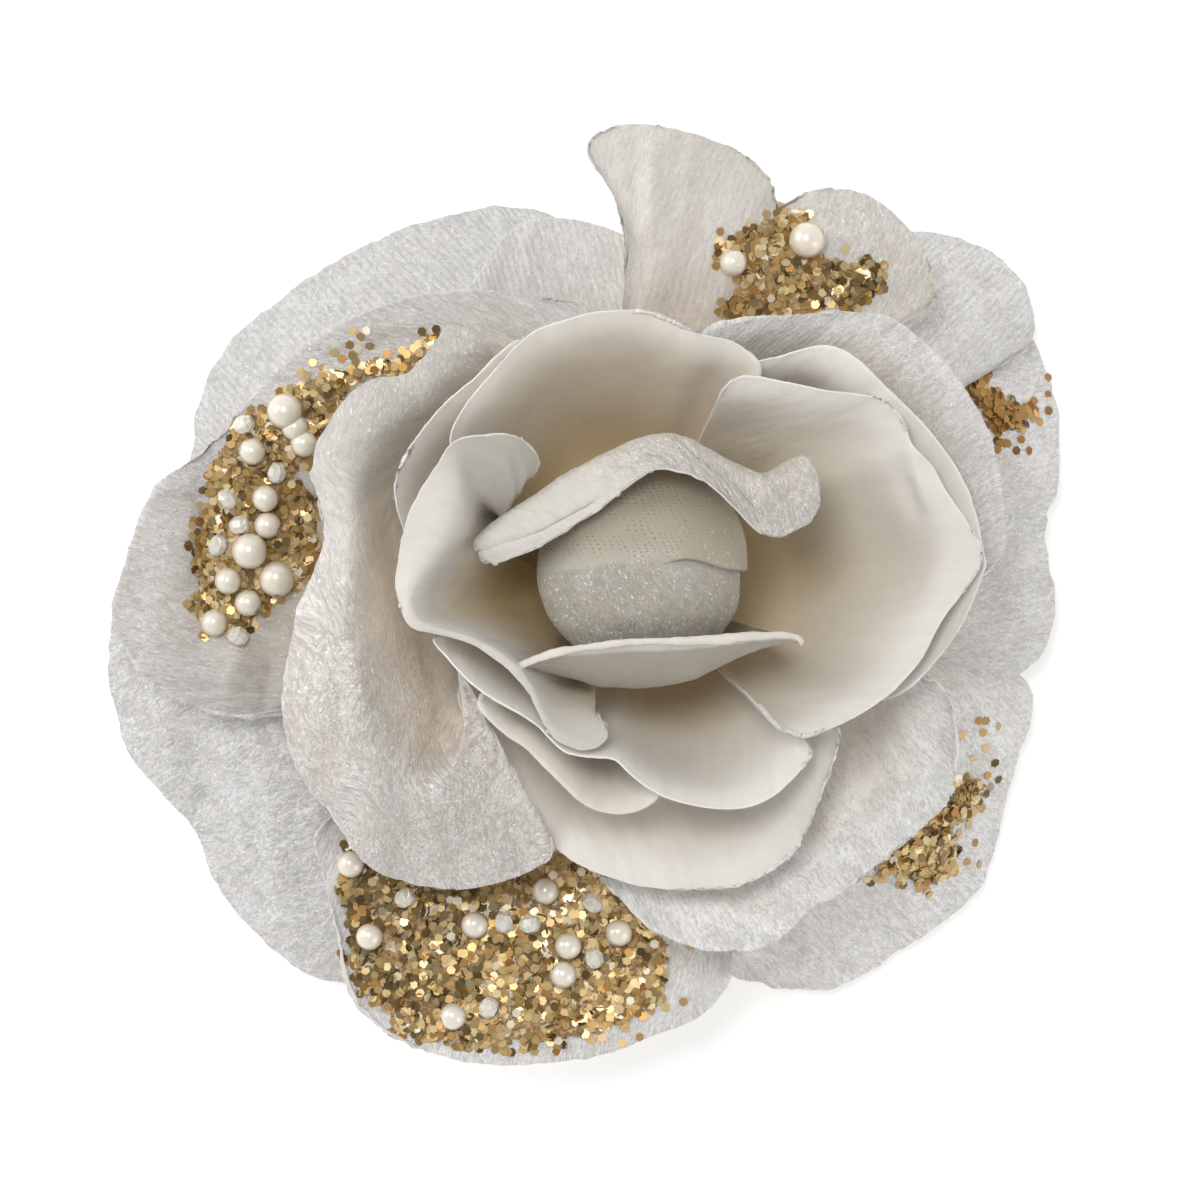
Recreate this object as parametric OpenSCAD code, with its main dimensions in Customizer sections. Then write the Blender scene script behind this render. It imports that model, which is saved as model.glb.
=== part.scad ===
// Hair clip with a large velvet rose: a wrapped bud, cupped inner petals, wide
// outer petals trimmed with glitter, pearls and glass beads, all set in a hub of
// hot glue on a felt disc, with a sprung alligator clip glued under the felt.
// Millimetres. The rose lies on its back: +Z is the way the flower faces, z = 0 is
// the lowest point (the clip's handle and the drooping outer petals), and X runs
// along the clip and the flower's widest way.

/* [Flower] */
// Width of the open flower along X
flower_width = 106.5; // [98:0.5:116]
// Thickness of the doubled velvet in the inner petals
petal_thickness = 0.8; // [0.6:0.05:0.9]
// Columns of facets added to each petal
extra_columns = 0; // [0:1:4]
// Rows of facets from root to rim
petal_rows = 7; // [6:1:9]

/* [Trim] */
// Diameter of the small pearls
small_pearl = 3.0; // [2.5:0.1:3.4]
// Diameter of the large pearls
large_pearl = 4.0; // [3.6:0.1:4.4]
// Length of the cut glass beads
glass_bead = 2.2; // [1.8:0.1:2.6]
// Height of the glitter and glue above the velvet
crust_height = 0.5; // [0.4:0.05:0.8]

/* [Backing] */
// Diameter of the felt disc
felt_diameter = 34; // [30:1:40]
// Thickness of the felt
felt_thickness = 1.5; // [1:0.1:2]

/* [Clip] */
// Width of the fixed jaw
jaw_width = 9.5; // [9:0.1:12]
// Thickness of the jaws' steel
steel = 0.8; // [0.7:0.05:0.9]
// Diameter of the hinge pin
pin_diameter = 2.0; // [1.8:0.05:2.2]
// Diameter of the spring's wire
spring_wire = 0.7; // [0.6:0.05:0.75]

/* [Hidden] */

$fn = 40;

// Petal outlines are drawn on a drafting grid of 968 squares across the flower's
// width, with X to the right and Y down, and its middle at (587, 596). The third
// number of each point is its height above the table in millimetres.
unit = flower_width / 968;
function mm(p) = [(p[0] - 587) * unit, (596 - p[1]) * unit, p[2]];
hub = [(620 - 587) * unit, (596 - 585) * unit];

// Smooth curve through a list of points, s from 0 to 1
function blend(a, b, c, d, t) = 0.5 * (2 * b + (c - a) * t
    + (2 * a - 5 * b + 4 * c - d) * t * t + (3 * b - a - 3 * c + d) * t * t * t);
function along(p, s) = let (n = len(p) - 1, x = min(max(s, 0), 1) * n,
    i = min(floor(x), n - 1))
    blend(p[max(i - 1, 0)], p[i], p[i + 1], p[min(i + 2, n)], x - i);

// A petal is [[root radius, root height, root start angle, root end angle],
//   [[reach, rise], ...] between the root and its first drawn line,
//   [drawn line, ..., rim], number of columns].
function root(P, u) = let (a = P[0][2] + u * (P[0][3] - P[0][2]))
    [hub[0] + P[0][0] * cos(a), hub[1] + P[0][0] * sin(a), P[0][1]];
function rib(P, u) = let (b = root(P, u), q = [for (r = P[2]) mm(along(r, u))])
    concat([b], [for (m = P[1]) [b[0] + m[0] * (q[0][0] - b[0]),
        b[1] + m[0] * (q[0][1] - b[1]), b[2] + m[1] * (q[0][2] - b[2])]], q);
function at(P, u, v) = along(rib(P, u), v);
function sheet(P, u0, u1, nu, v0, v1, nv) = [for (i = [0:nu - 1])
    let (u = u0 + (u1 - u0) * i / (nu - 1), c = rib(P, u),
        a = is_list(v0) ? along(v0, i / (nu - 1)) : v0,
        b = is_list(v1) ? along(v1, i / (nu - 1)) : v1)
    [for (j = [0:nv - 1]) along(c, a + (b - a) * j / (nv - 1))]];

// The direction out of the back of the sheet at each of its points
function unit_vector(v) = v / max(norm(v), 1e-9);
function backs(g) = let (n = len(g), m = len(g[0]))
    [for (i = [0:n - 1]) [for (j = [0:m - 1]) unit_vector(cross(
        g[min(i + 1, n - 1)][j] - g[max(i - 1, 0)][j],
        g[i][min(j + 1, m - 1)] - g[i][max(j - 1, 0)]))]];

// Closed shell between front = g + f*back and back = g + b*back
module shell(g, f, b) {
    n = len(g);
    m = len(g[0]);
    k = backs(g);
    N = n * m;
    polyhedron(
        points = concat([for (i = [0:n - 1]) for (j = [0:m - 1]) g[i][j] + f * k[i][j]],
            [for (i = [0:n - 1]) for (j = [0:m - 1]) g[i][j] + b * k[i][j]]),
        faces = concat(
            [for (i = [0:n - 2]) for (j = [0:m - 2]) let (a = i * m + j)
                each [[a, a + m, a + m + 1], [a, a + m + 1, a + 1]]],
            [for (i = [0:n - 2]) for (j = [0:m - 2]) let (a = N + i * m + j)
                each [[a, a + m + 1, a + m], [a, a + 1, a + m + 1]]],
            [for (i = [0:n - 2]) let (a = i * m + m - 1)
                each [[a, a + m, a + m + N], [a, a + m + N, a + N]]],
            [for (i = [0:n - 2]) let (a = i * m)
                each [[a, a + m + N, a + m], [a, a + N, a + m + N]]],
            [for (j = [0:m - 2]) let (a = (n - 1) * m + j)
                each [[a + 1, a, a + N], [a + 1, a + N, a + 1 + N]]],
            [for (j = [0:m - 2]) let (a = j)
                each [[a, a + 1, a + 1 + N], [a, a + 1 + N, a + N]]]));
}
module petal(P) shell(sheet(P, 0, 1, P[3] + extra_columns, 0, 1, petal_rows), 0, petal_thickness);

// Height of a petal's front at a drawing point
function height_in(a, b, c, x, y) = let (d = (b[1] - c[1]) * (a[0] - c[0]) + (c[0] - b[0]) * (a[1] - c[1]))
    abs(d) < 1e-9 ? -1 : let (p = ((b[1] - c[1]) * (x - c[0]) + (c[0] - b[0]) * (y - c[1])) / d,
        q = ((c[1] - a[1]) * (x - c[0]) + (a[0] - c[0]) * (y - c[1])) / d, r = 1 - p - q)
    (p > -0.001 && q > -0.001 && r > -0.001) ? p * a[2] + q * b[2] + r * c[2] : -1;
function height(g, x, y) = max([for (i = [0:len(g) - 2]) for (j = [0:len(g[0]) - 2])
    each [height_in(g[i][j], g[i + 1][j], g[i + 1][j + 1], x, y),
        height_in(g[i][j], g[i + 1][j + 1], g[i][j + 1], x, y)]]);
function on(P, p) = let (q = mm([p[0], p[1], 0]),
    g = sheet(P, 0, 1, P[3], 0, 1, petal_rows)) [q[0], q[1], height(g, q[0], q[1])];

// Root levels, from the outermost ring of petals to the bud
OUT = [[0.3, 0], [0.6, 0.06], [0.82, 0.42]];
FLAT = [[0.3, 0.55], [0.6, 1.05], [0.82, 1.2]];
TURN = [[0.32, 0.18], [0.62, 0.56], [0.85, 0.93]];
BOWL = [[0.34, 0.17], [0.66, 0.55], [0.88, 0.9]];

// Bud
bud = [(640 - 587) * unit, (596 - 570) * unit];
bud_profile = [[2.2, 20.9], [4.8, 24], [7.8, 28], [10.2, 32], [11.3, 35], [11, 37.6], [9.6, 40.4], [7.2, 42.8], [4.2, 44.4], [0, 45]];
module bud_core() color("Ivory") translate([bud[0], bud[1], 0])
    rotate_extrude() polygon([[0, 19.4], [1.1, 19.4], [1.1, 21.4], [3.6, 24.4], [6.4, 28.2], [8.8, 32], [9.9, 35], [9.6, 37.2],
        [8.2, 39.6], [6, 41.6], [3.4, 42.9], [0, 43.5]]);
module bud_dome(inside, outside) rotate_extrude()
    polygon(concat([for (p = bud_profile) [p[0] == 0 ? 0 : p[0] + outside, p[1] + outside * p[1] / 45]],
        [for (i = [len(bud_profile) - 1:-1:0]) let (p = bud_profile[i])
            [p[0] == 0 ? 0 : p[0] + inside, p[1] + inside * p[1] / 45]]));
module bud_wrap_under() color("Ivory") translate([bud[0], bud[1], 0]) bud_dome(-0.95, -0.2);
module bud_wrap_over() color("Ivory") translate([bud[0], bud[1], 0]) intersection() {
    bud_dome(-0.1, 0.7);
    rotate([0, 0, 8]) translate([-30, -0.6, 24]) cube([60, 40, 40]);
}

// Petals that close over the bud
BUD_TOP = [[5, 19.8, 20, 160], [[0.5, 0.22], [0.92, 0.6]], [
    [[806, 452, 41], [775, 461, 42], [740, 460, 42.6], [705, 444, 43], [670, 434, 43], [630, 440, 43], [585, 460, 42.6], [543, 490, 42], [513, 524, 41], [477, 547, 39.2]],
    [[803, 523, 42], [765, 536, 43.4], [738, 514, 45], [710, 489, 45.8], [675, 472, 46.4], [643, 472, 46.4], [606, 502, 46.2], [566, 526, 45], [523, 537, 43], [482, 557, 40]]], 18];
BUD_BOTTOM = [[5, 19.7, 222, 340], [[0.5, 0.22], [0.92, 0.62]], [
    [[536, 667, 37], [556, 672, 36.8], [580, 680, 37], [610, 686, 37], [645, 687, 37], [682, 682, 37.2], [716, 671, 37.8], [752, 656, 39], [800, 643, 40.6]],
    [[520, 657, 41.4], [546, 645, 43.2], [580, 640, 45], [620, 637, 45.8], [660, 633, 45.8], [700, 630, 45.2], [740, 627, 44], [775, 625, 43], [798, 637, 42]]], 16];

// Petals around the bud, rolled at the rim
HEART_LEFT = [[6.2, 18.9, 160, 240], [[0.4, 0.15], [0.75, 0.49]], [
    [[535, 468, 40.5], [508, 452, 41], [482, 452, 41.2], [463, 472, 41.2], [438, 505, 41.4], [420, 545, 41.4], [412, 578, 41.2], [425, 605, 41], [450, 628, 41], [482, 645, 41], [515, 668, 40.6], [540, 700, 39.6], [560, 725, 38.8], [585, 728, 38], [590, 708, 37.4]],
    [[540, 461, 42.6], [519, 437, 43.2], [480, 437, 43.4], [446, 455, 43.2], [420, 492, 43.2], [402, 535, 43], [395, 580, 42.6], [403, 614, 42.6], [436, 637, 42.8], [476, 649, 42.6], [512, 670, 42], [532, 706, 41], [556, 740, 39.8], [600, 748, 39], [611, 730, 38.6]]], 22];
HEART_RIGHT = [[6.2, 18.8, 324, 415], BOWL, [
    [[772, 718, 40], [803, 734, 39.6], [838, 722, 39], [880, 697, 38.2], [915, 662, 37.6], [938, 617, 37], [975, 572, 36.4], [981, 547, 36.4], [950, 505, 37], [915, 476, 37.8], [899, 445, 38.6], [888, 412, 39.4], [850, 398, 40.2], [800, 387, 41], [754, 383, 41.6]]], 20];
HEART_BOTTOM = [[7.1, 17.7, 222, 318], BOWL, [
    [[472, 690, 39], [500, 711, 38.6], [530, 731, 38.2], [560, 750, 37.8], [600, 758, 37.2], [628, 773, 36.8], [665, 791, 36.4], [710, 806, 36], [748, 808, 36], [785, 794, 36.2], [806, 764, 36.6], [812, 742, 36.8]]], 16];
CUP_TOP = [[7.6, 17.9, 58, 142], BOWL, [
    [[753, 372, 40], [742, 350, 40.6], [710, 341, 41.4], [678, 321, 42], [640, 315, 42], [600, 320, 42], [560, 328, 42], [530, 341, 41.6], [505, 366, 41.2], [480, 391, 40.6], [458, 417, 40], [447, 440, 39.4]]], 16];
CUP_ROLL = [[8.2, 16.9, 232, 282], BOWL, [
    [[512, 735, 35.5], [540, 758, 35], [566, 785, 34.6], [590, 804, 34.2], [625, 814, 34], [652, 803, 34.2], [662, 790, 34.4]]], 10];
CUP_RIGHT = [[8.8, 17.1, 4, 55], BOWL, [
    [[986, 546, 34.4], [972, 505, 34.6], [962, 468, 35.2], [940, 434, 36], [914, 400, 37], [880, 364, 38], [845, 347, 38.2], [800, 354, 38.4], [770, 361, 38.4], [757, 366, 38.2]]], 12];
CUP_LEFT = [[8.8, 17.1, 114, 166], BOWL, [
    [[500, 359, 38], [470, 386, 38], [440, 409, 38], [414, 445, 38], [399, 476, 38], [391, 508, 37.4], [388, 540, 36.6]]], 10];
CUP_EDGE = [[8.8, 17.1, 338, 363], BOWL, [
    [[912, 680, 35], [940, 651, 34.8], [958, 626, 34.6], [973, 590, 34.6], [987, 552, 34.8]]], 8];
CUP_BOTTOM = [[9.4, 16.2, 205, 330], TURN, [
    [[500, 800, 24], [545, 842, 25], [578, 853, 26.4], [605, 868, 27.6], [640, 886, 28.4], [690, 889, 29], [740, 885, 29.6], [775, 875, 30.2], [803, 842, 31.4], [825, 800, 32.6], [838, 760, 33.4], [842, 732, 33.8]]], 18];

// Velvet petals that stand up and turn over at the rim
VELVET_LEFT = [[10, 16.1, 122, 196], [[0.4, 0.28], [0.75, 0.7]], [
    [[490, 350, 35.6], [455, 372, 35.6], [432, 398, 35.4], [400, 418, 35.4], [372, 438, 36], [356, 470, 35.6], [350, 510, 35.6], [350, 550, 35.6], [346, 590, 35.6], [338, 640, 35.4], [338, 690, 35], [350, 735, 34.6], [370, 775, 34], [400, 800, 33.4], [440, 808, 33], [480, 790, 33], [508, 758, 33.6]],
    [[455, 320, 35], [428, 352, 34.6], [406, 377, 34.6], [362, 384, 32.6], [330, 424, 31], [313, 458, 30], [317, 505, 29.6], [325, 545, 29], [306, 583, 28.6], [292, 640, 28], [283, 710, 27.4], [303, 775, 27], [335, 808, 26.6], [372, 870, 25.4], [430, 886, 25.4], [500, 884, 25.8], [565, 856, 27.4]]], 26];
VELVET_RIGHT = [[10, 16.3, 358, 436], TURN, [
    [[984, 549, 30.4], [1004, 545, 30.6], [1003, 510, 31.6], [1004, 475, 32], [996, 438, 32.5], [980, 400, 33], [955, 365, 33.8], [925, 336, 34.6], [885, 317, 35.4], [840, 313, 35.6], [790, 317, 35.8], [740, 321, 36], [698, 333, 36.4]]], 18];
VELVET_BOTTOM = [[10.2, 15.5, 262, 345], TURN, [
    [[596, 868, 24.4], [615, 896, 24.2], [642, 921, 24.2], [670, 938, 24.4], [702, 946, 24.6], [745, 949, 24.8], [780, 938, 25], [804, 908, 25.2], [840, 893, 25.4], [880, 860, 25.8], [920, 830, 26.4], [952, 798, 27], [956, 756, 27.8], [953, 712, 28.6], [938, 685, 29.2], [922, 677, 29.6]]], 20];

// Flat petals with glitter, and the small petal beside them
GLITTER_TOP = [[11.4, 15.3, 44, 93], FLAT, [
    [[930, 292, 21], [928, 255, 21], [905, 225, 21], [880, 202, 21], [845, 188, 21], [800, 192, 21.4], [778, 203, 22], [770, 175, 23], [745, 150, 24.4], [720, 138, 25.4], [690, 132, 26], [645, 125, 26.4], [605, 130, 27], [584, 147, 27.6], [598, 171, 27.4], [614, 190, 27], [622, 210, 26.4]]], 20];
GLITTER_LEFT = [[11.4, 15.3, 102, 205], FLAT, [
    [[568, 300, 24], [520, 293, 22.4], [450, 290, 21], [390, 300, 20], [345, 319, 19.4], [300, 345, 19], [270, 370, 18.8], [235, 405, 18.6], [205, 440, 18], [185, 462, 17.4], [155, 485, 16.8], [142, 520, 16.2], [125, 565, 15.6], [112, 610, 15.2], [130, 660, 15], [165, 699, 15.2], [210, 714, 15.6], [264, 718, 16]]], 22];
GLITTER_BOTTOM = [[11.4, 14.5, 228, 292], FLAT, [
    [[318, 866, 15.4], [328, 905, 15.2], [338, 955, 15], [345, 997, 15], [370, 1028, 15], [410, 1052, 15], [450, 1062, 15], [500, 1066, 15], [550, 1063, 15], [600, 1058, 15], [640, 1045, 15], [675, 1029, 15], [715, 1003, 15], [734, 972, 15.4], [740, 940, 16]]], 18];
SMALL_TOP = [[12.4, 14.4, 84, 118], FLAT, [
    [[622, 230, 16.2], [580, 219, 15.8], [545, 214, 15.4], [520, 222, 15.2], [500, 237, 15.2], [487, 258, 15.4], [476, 277, 15.6], [455, 300, 16]]], 10];

// Outer petals that droop to the table
OUTER_BACK = [[12.4, 14.4, 29, 56], OUT, [
    [[1041, 330, 5], [1035, 290, 3.4], [1018, 260, 2], [990, 240, 1.6], [950, 230, 2.6], [905, 226, 4.6]]], 8];
OUTER_RIGHT = [[13.2, 13.4, 349, 392], OUT, [
    [[1025, 676, 5.8], [1046, 661, 4.8], [1062, 620, 3.4], [1060, 580, 3], [1048, 533, 4], [1060, 500, 3], [1067, 460, 2.4], [1071, 425, 2], [1060, 380, 1.6], [1048, 340, 1.2], [1034, 312, 1]]], 14];
OUTER_LOWER_RIGHT = [[13.2, 13.4, 284, 343], OUT, [
    [[724, 985, 3], [770, 994, 2], [820, 998, 1.4], [865, 985, 1], [905, 953, .9], [960, 918, .9], [985, 893, 1], [1003, 860, 1.2], [1012, 820, 1.6], [1018, 775, 2], [1036, 725, 2], [1037, 706, 2], [1030, 687, 2]]], 16];
OUTER_UPPER_LEFT = [[13.2, 13.4, 94, 168], OUT, [
    [[566, 218, 8], [530, 205, 6.6], [490, 199, 5.4], [440, 209, 4.2], [400, 222, 3.4], [360, 236, 2.8], [300, 273, 1.8], [245, 318, 1.2], [210, 360, .9], [192, 405, .9], [187, 440, 1], [184, 478, 2]]], 16];
OUTER_LOWER_LEFT = [[13.2, 13.4, 176, 240], OUT, [
    [[118, 580, 5], [106, 640, 3.6], [103, 675, 3], [111, 720, 2.2], [124, 755, 1.6], [155, 798, 1.2], [183, 826, 1.2], [192, 845, 1.2], [204, 872, 1], [226, 905, .9], [265, 952, .9], [308, 984, 1], [346, 992, 1.8]]], 16];

module bud_petal_top() color("Ivory") petal(BUD_TOP);
module bud_petal_bottom() color("Ivory") petal(BUD_BOTTOM);
module heart_petal_left() color("OldLace") petal(HEART_LEFT);
module heart_petal_right() color("OldLace") petal(HEART_RIGHT);
module heart_petal_bottom() color("OldLace") petal(HEART_BOTTOM);
module cup_petal_top() color("OldLace") petal(CUP_TOP);
module cup_petal_roll() color("OldLace") petal(CUP_ROLL);
module cup_petal_right() color("OldLace") petal(CUP_RIGHT);
module cup_petal_left() color("OldLace") petal(CUP_LEFT);
module cup_petal_edge() color("OldLace") petal(CUP_EDGE);
module cup_petal_bottom() color("OldLace") petal(CUP_BOTTOM);
module velvet_petal_left() color("Ivory") petal(VELVET_LEFT);
module velvet_petal_right() color("Ivory") petal(VELVET_RIGHT);
module velvet_petal_bottom() color("Ivory") petal(VELVET_BOTTOM);
module glitter_petal_top() color("Snow") petal(GLITTER_TOP);
module glitter_petal_left() color("Snow") petal(GLITTER_LEFT);
module glitter_petal_bottom() color("Snow") petal(GLITTER_BOTTOM);
module small_petal_top() color("Snow") petal(SMALL_TOP);
module outer_petal_back() color("Snow") petal(OUTER_BACK);
module outer_petal_right() color("Snow") petal(OUTER_RIGHT);
module outer_petal_lower_right() color("Snow") petal(OUTER_LOWER_RIGHT);
module outer_petal_upper_left() color("Snow") petal(OUTER_UPPER_LEFT);
module outer_petal_lower_left() color("Snow") petal(OUTER_LOWER_LEFT);

// Hub of hot glue that holds every petal's root, on the felt disc
felt_top = 12.5;
felt_bottom = felt_top - felt_thickness;
module glue_hub() color("AntiqueWhite") translate([hub[0], hub[1], 0]) rotate_extrude()
    polygon([[0, felt_top], [14.6, felt_top], [14.2, 13.7], [13, 14.9], [11.6, 15.9], [10.2, 16.9], [8.8, 17.8], [7.4, 18.8], [6, 19.8], [4.6, 20.4], [0, 20.6]]);
module felt_disc() color("White") translate([hub[0], hub[1], felt_bottom])
    cylinder(h = felt_thickness, d = felt_diameter, $fn = 72);

// Alligator clip. Its own x runs from the jaws' tip to the handle, measured from
// the middle of the felt; the hinge is at hinge_x, hinge_z.
clip_length = 58;
tip_x = -30;
hinge_x = 8;
hinge_z = felt_bottom - steel - 2.7;
jaw_z = felt_bottom - steel;
ear_gap = 0.1;
ear = 0.7;
lever_half = jaw_width / 2 - ear - ear_gap;
module clip_frame() translate([hub[0], hub[1], 0]) children();
module side_plate(y0, y1) rotate([90, 0, 0]) translate([0, 0, -y1]) linear_extrude(y1 - y0) children();

module clip_fixed_jaw() color("Silver") clip_frame() difference() {
    union() {
        translate([tip_x, -jaw_width / 2, jaw_z]) cube([clip_length, jaw_width, steel]);
        for (s = [-1, 1]) side_plate(s > 0 ? lever_half + ear_gap : -jaw_width / 2,
            s > 0 ? jaw_width / 2 : -lever_half - ear_gap)
            polygon(concat([[hinge_x + 5, jaw_z + 0.2], [hinge_x - 5, jaw_z + 0.2], [hinge_x - 5, jaw_z - 0.8]],
                [for (a = [205:13:335]) [hinge_x + 2.4 * cos(a), hinge_z + 2.4 * sin(a)]], [[hinge_x + 5, jaw_z - 0.8]]));
    }
    translate([hinge_x, 0, hinge_z]) rotate([90, 0, 0]) cylinder(h = 20, d = pin_diameter, center = true);
}

// Lever: the lower jaw, its ears and its handle in one bent strip
lever_top = [[tip_x, jaw_z - 0.9], [tip_x + 2.2, jaw_z - 1.2], [tip_x + 4.4, jaw_z - 2.6], [tip_x + 8, jaw_z - 4.6], [tip_x + 14, jaw_z - 5.2],
    [0, jaw_z - 5.4], [12, jaw_z - 5.5], [14, jaw_z - 5.9], [21.4, steel], [28, steel]];
module strip() polygon(concat(lever_top, [[28, 0], [21.2, 0], [13.8, jaw_z - 5.9 - steel], [11.9, jaw_z - 5.5 - steel],
    [0, jaw_z - 5.4 - steel], [tip_x + 14, jaw_z - 5.2 - steel], [tip_x + 7.8, jaw_z - 4.6 - steel],
    [tip_x + 4, jaw_z - 2.6 - steel], [tip_x + 1.8, jaw_z - 1.2 - steel], [tip_x, jaw_z - 0.9 - steel]]));
module clip_moving_jaw() color("Gainsboro") clip_frame() difference() {
    union() {
        side_plate(-lever_half, lever_half) strip();
        for (s = [-1, 1]) side_plate(s > 0 ? lever_half - ear : -lever_half, s > 0 ? lever_half : ear - lever_half)
            polygon(concat([[hinge_x - 4.5, jaw_z - 5.7], [hinge_x + 4.5, jaw_z - 5.7]],
                [for (a = [-10:10:190]) [hinge_x + 2.2 * cos(a), hinge_z + 2.2 * sin(a)]]));
        for (k = [0:4]) translate([tip_x, -lever_half + (k + 0.18) * 2 * lever_half / 5, jaw_z - 1.2])
            cube([0.8, 0.64 * 2 * lever_half / 5, 1.15]);
    }
    translate([hinge_x, 0, hinge_z]) rotate([90, 0, 0]) cylinder(h = 20, d = pin_diameter + 0.1, center = true);
}

// Pin with riveted heads
module hinge_pin() color("DarkGray") clip_frame() translate([hinge_x, 0, hinge_z]) rotate([90, 0, 0]) {
    cylinder(h = jaw_width, d = pin_diameter, center = true);
    for (s = [-1, 1]) translate([0, 0, s * (jaw_width / 2 + 0.25)]) cylinder(h = 0.5, d = 3, center = true);
}

// Torsion spring: a coil on the pin with one leg under the fixed jaw and one on the handle
coil = 2.7 - spring_wire / 2 - 0.06;
turns = 3.5;
coil_width = turns * (spring_wire + 0.08);
function ring_point(c, d, n, k) = c + (spring_wire / 2) * (cos(k * 60) * d + sin(k * 60) * n);
module torsion_spring() color("Gray") clip_frame() {
    steps = 42;
    // centre line: leg on the fixed jaw, coil, leg on the handle
    line = concat([[hinge_x + 15, -coil_width / 2, hinge_z + coil], [hinge_x + 7, -coil_width / 2, hinge_z + coil]],
        [for (i = [0:steps]) let (a = 90 + turns * 360 * i / steps)
            [hinge_x + coil * cos(a), -coil_width / 2 + coil_width * i / steps, hinge_z + coil * sin(a)]],
        [[hinge_x + 4.2, coil_width / 2, hinge_z - coil], [hinge_x + 10.6, coil_width / 2, 3.32]]);
    m = len(line);
    t = [for (i = [0:m - 1]) unit_vector(line[min(i + 1, m - 1)] - line[max(i - 1, 0)])];
    y = [0, 1, 0];
    pts = [for (i = [0:m - 1]) let (n = unit_vector(cross(t[i], y)), d = unit_vector(cross(n, t[i])))
        for (k = [0:5]) ring_point(line[i], d, n, k)];
    polyhedron(points = pts, faces = concat([[0, 1, 2, 3, 4, 5]], [[for (k = [5:-1:0]) (m - 1) * 6 + k]],
        [for (i = [0:m - 2]) for (k = [0:5]) let (a = i * 6 + k, b = i * 6 + (k + 1) % 6)
            each [[a, b + 6, b], [a, a + 6, b + 6]]]));
}

// Glitter set in clear glue on the velvet
module crust(P, u0, u1, nu, v0, v1, nv) color("Goldenrod")
    shell(sheet(P, u0, u1, nu, v0, v1, nv), -crust_height, 0.25);
module glitter_left() crust(GLITTER_LEFT, 0.16, 0.8, 12, [0.80, 0.72, 0.66, 0.66, 0.6, 0.48, 0.44, 0.66],
    [0.86, 0.84, 0.9, 0.95, 0.94, 0.86, 0.78, 0.72], 4);
module glitter_bottom() crust(GLITTER_BOTTOM, 0.06, 0.9, 12, [0.8, 0.6, 0.5, 0.44, 0.44, 0.66],
    [0.95, 0.97, 0.97, 0.96, 0.92, 0.84], 5);
module glitter_top() crust(GLITTER_TOP, 0.08, 0.5, 8, [0.64, 0.5, 0.48, 0.47, 0.54], [0.8, 0.74, 0.9, 0.83, 0.66], 4);
module glitter_right() crust(OUTER_RIGHT, 0.68, 0.96, 6, [0.7, 0.69, 0.67, 0.68], [0.9, 0.85, 0.8, 0.76], 4);
module glitter_lower_right() crust(OUTER_LOWER_RIGHT, 0.36, 0.73, 7, [0.68, 0.68, 0.69, 0.73, 0.75],
    [0.73, 0.84, 0.88, 0.83, 0.86], 4);

// Pearls and cut glass beads bedded in the glue
module pearl(P, p, d) { q = on(P, p); translate([q[0], q[1], q[2] + d * 0.36]) sphere(d = d); }
module pearls_left() color("Cornsilk") {
    for (p = [[284, 412], [252, 451], [305, 447], [264, 498], [266, 527], [227, 583], [248, 604], [212, 625]]) pearl(GLITTER_LEFT, p, small_pearl);
    pearl(GLITTER_LEFT, [250, 553], large_pearl);
    pearl(GLITTER_LEFT, [281, 580], large_pearl);
}
module pearls_bottom() color("Cornsilk")
    for (p = [[368, 939], [474, 927], [545, 893], [568, 948], [563, 977], [619, 935], [452, 1019], [357, 900]]) pearl(GLITTER_BOTTOM, p, small_pearl);
module pearls_top() color("Cornsilk") {
    pearl(GLITTER_TOP, [733, 263], small_pearl);
    pearl(GLITTER_TOP, [807, 240], large_pearl);
}
module bead(P, p, turn) { q = on(P, p); translate([q[0], q[1], q[2] + glass_bead * 0.42]) rotate([0, 70, turn])
    cylinder(h = glass_bead, d = glass_bead * 0.95, center = true, $fn = 8); }
module glass_beads_left() color("Azure")
    for (p = [[243, 424, 20], [276, 472, 70], [226, 498, 120], [238, 525, 10], [216, 545, 60], [236, 636, 150]]) bead(GLITTER_LEFT, p, p[2]);
module glass_beads_bottom() color("Azure")
    for (p = [[404, 900, 30], [503, 924, 80], [530, 926, 10], [592, 905, 140], [488, 1010, 60], [594, 960, 100]]) bead(GLITTER_BOTTOM, p, p[2]);

bud_core();
bud_wrap_under();
bud_wrap_over();
bud_petal_top();
bud_petal_bottom();
heart_petal_left();
heart_petal_right();
heart_petal_bottom();
cup_petal_top();
cup_petal_roll();
cup_petal_right();
cup_petal_left();
cup_petal_edge();
cup_petal_bottom();
velvet_petal_left();
velvet_petal_right();
velvet_petal_bottom();
glitter_petal_top();
glitter_petal_left();
glitter_petal_bottom();
small_petal_top();
outer_petal_back();
outer_petal_right();
outer_petal_lower_right();
outer_petal_upper_left();
outer_petal_lower_left();
glue_hub();
felt_disc();
clip_fixed_jaw();
clip_moving_jaw();
hinge_pin();
torsion_spring();
glitter_left();
glitter_bottom();
glitter_top();
glitter_right();
glitter_lower_right();
pearls_left();
pearls_bottom();
pearls_top();
glass_beads_left();
glass_beads_bottom();
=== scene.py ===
"""Looks of the velvet rose hair clip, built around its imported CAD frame. Metres, +Z is the way the flower faces."""
import math

import bpy
import numpy as np
from mathutils import Matrix, Vector
from mathutils.bvhtree import BVHTree


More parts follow.
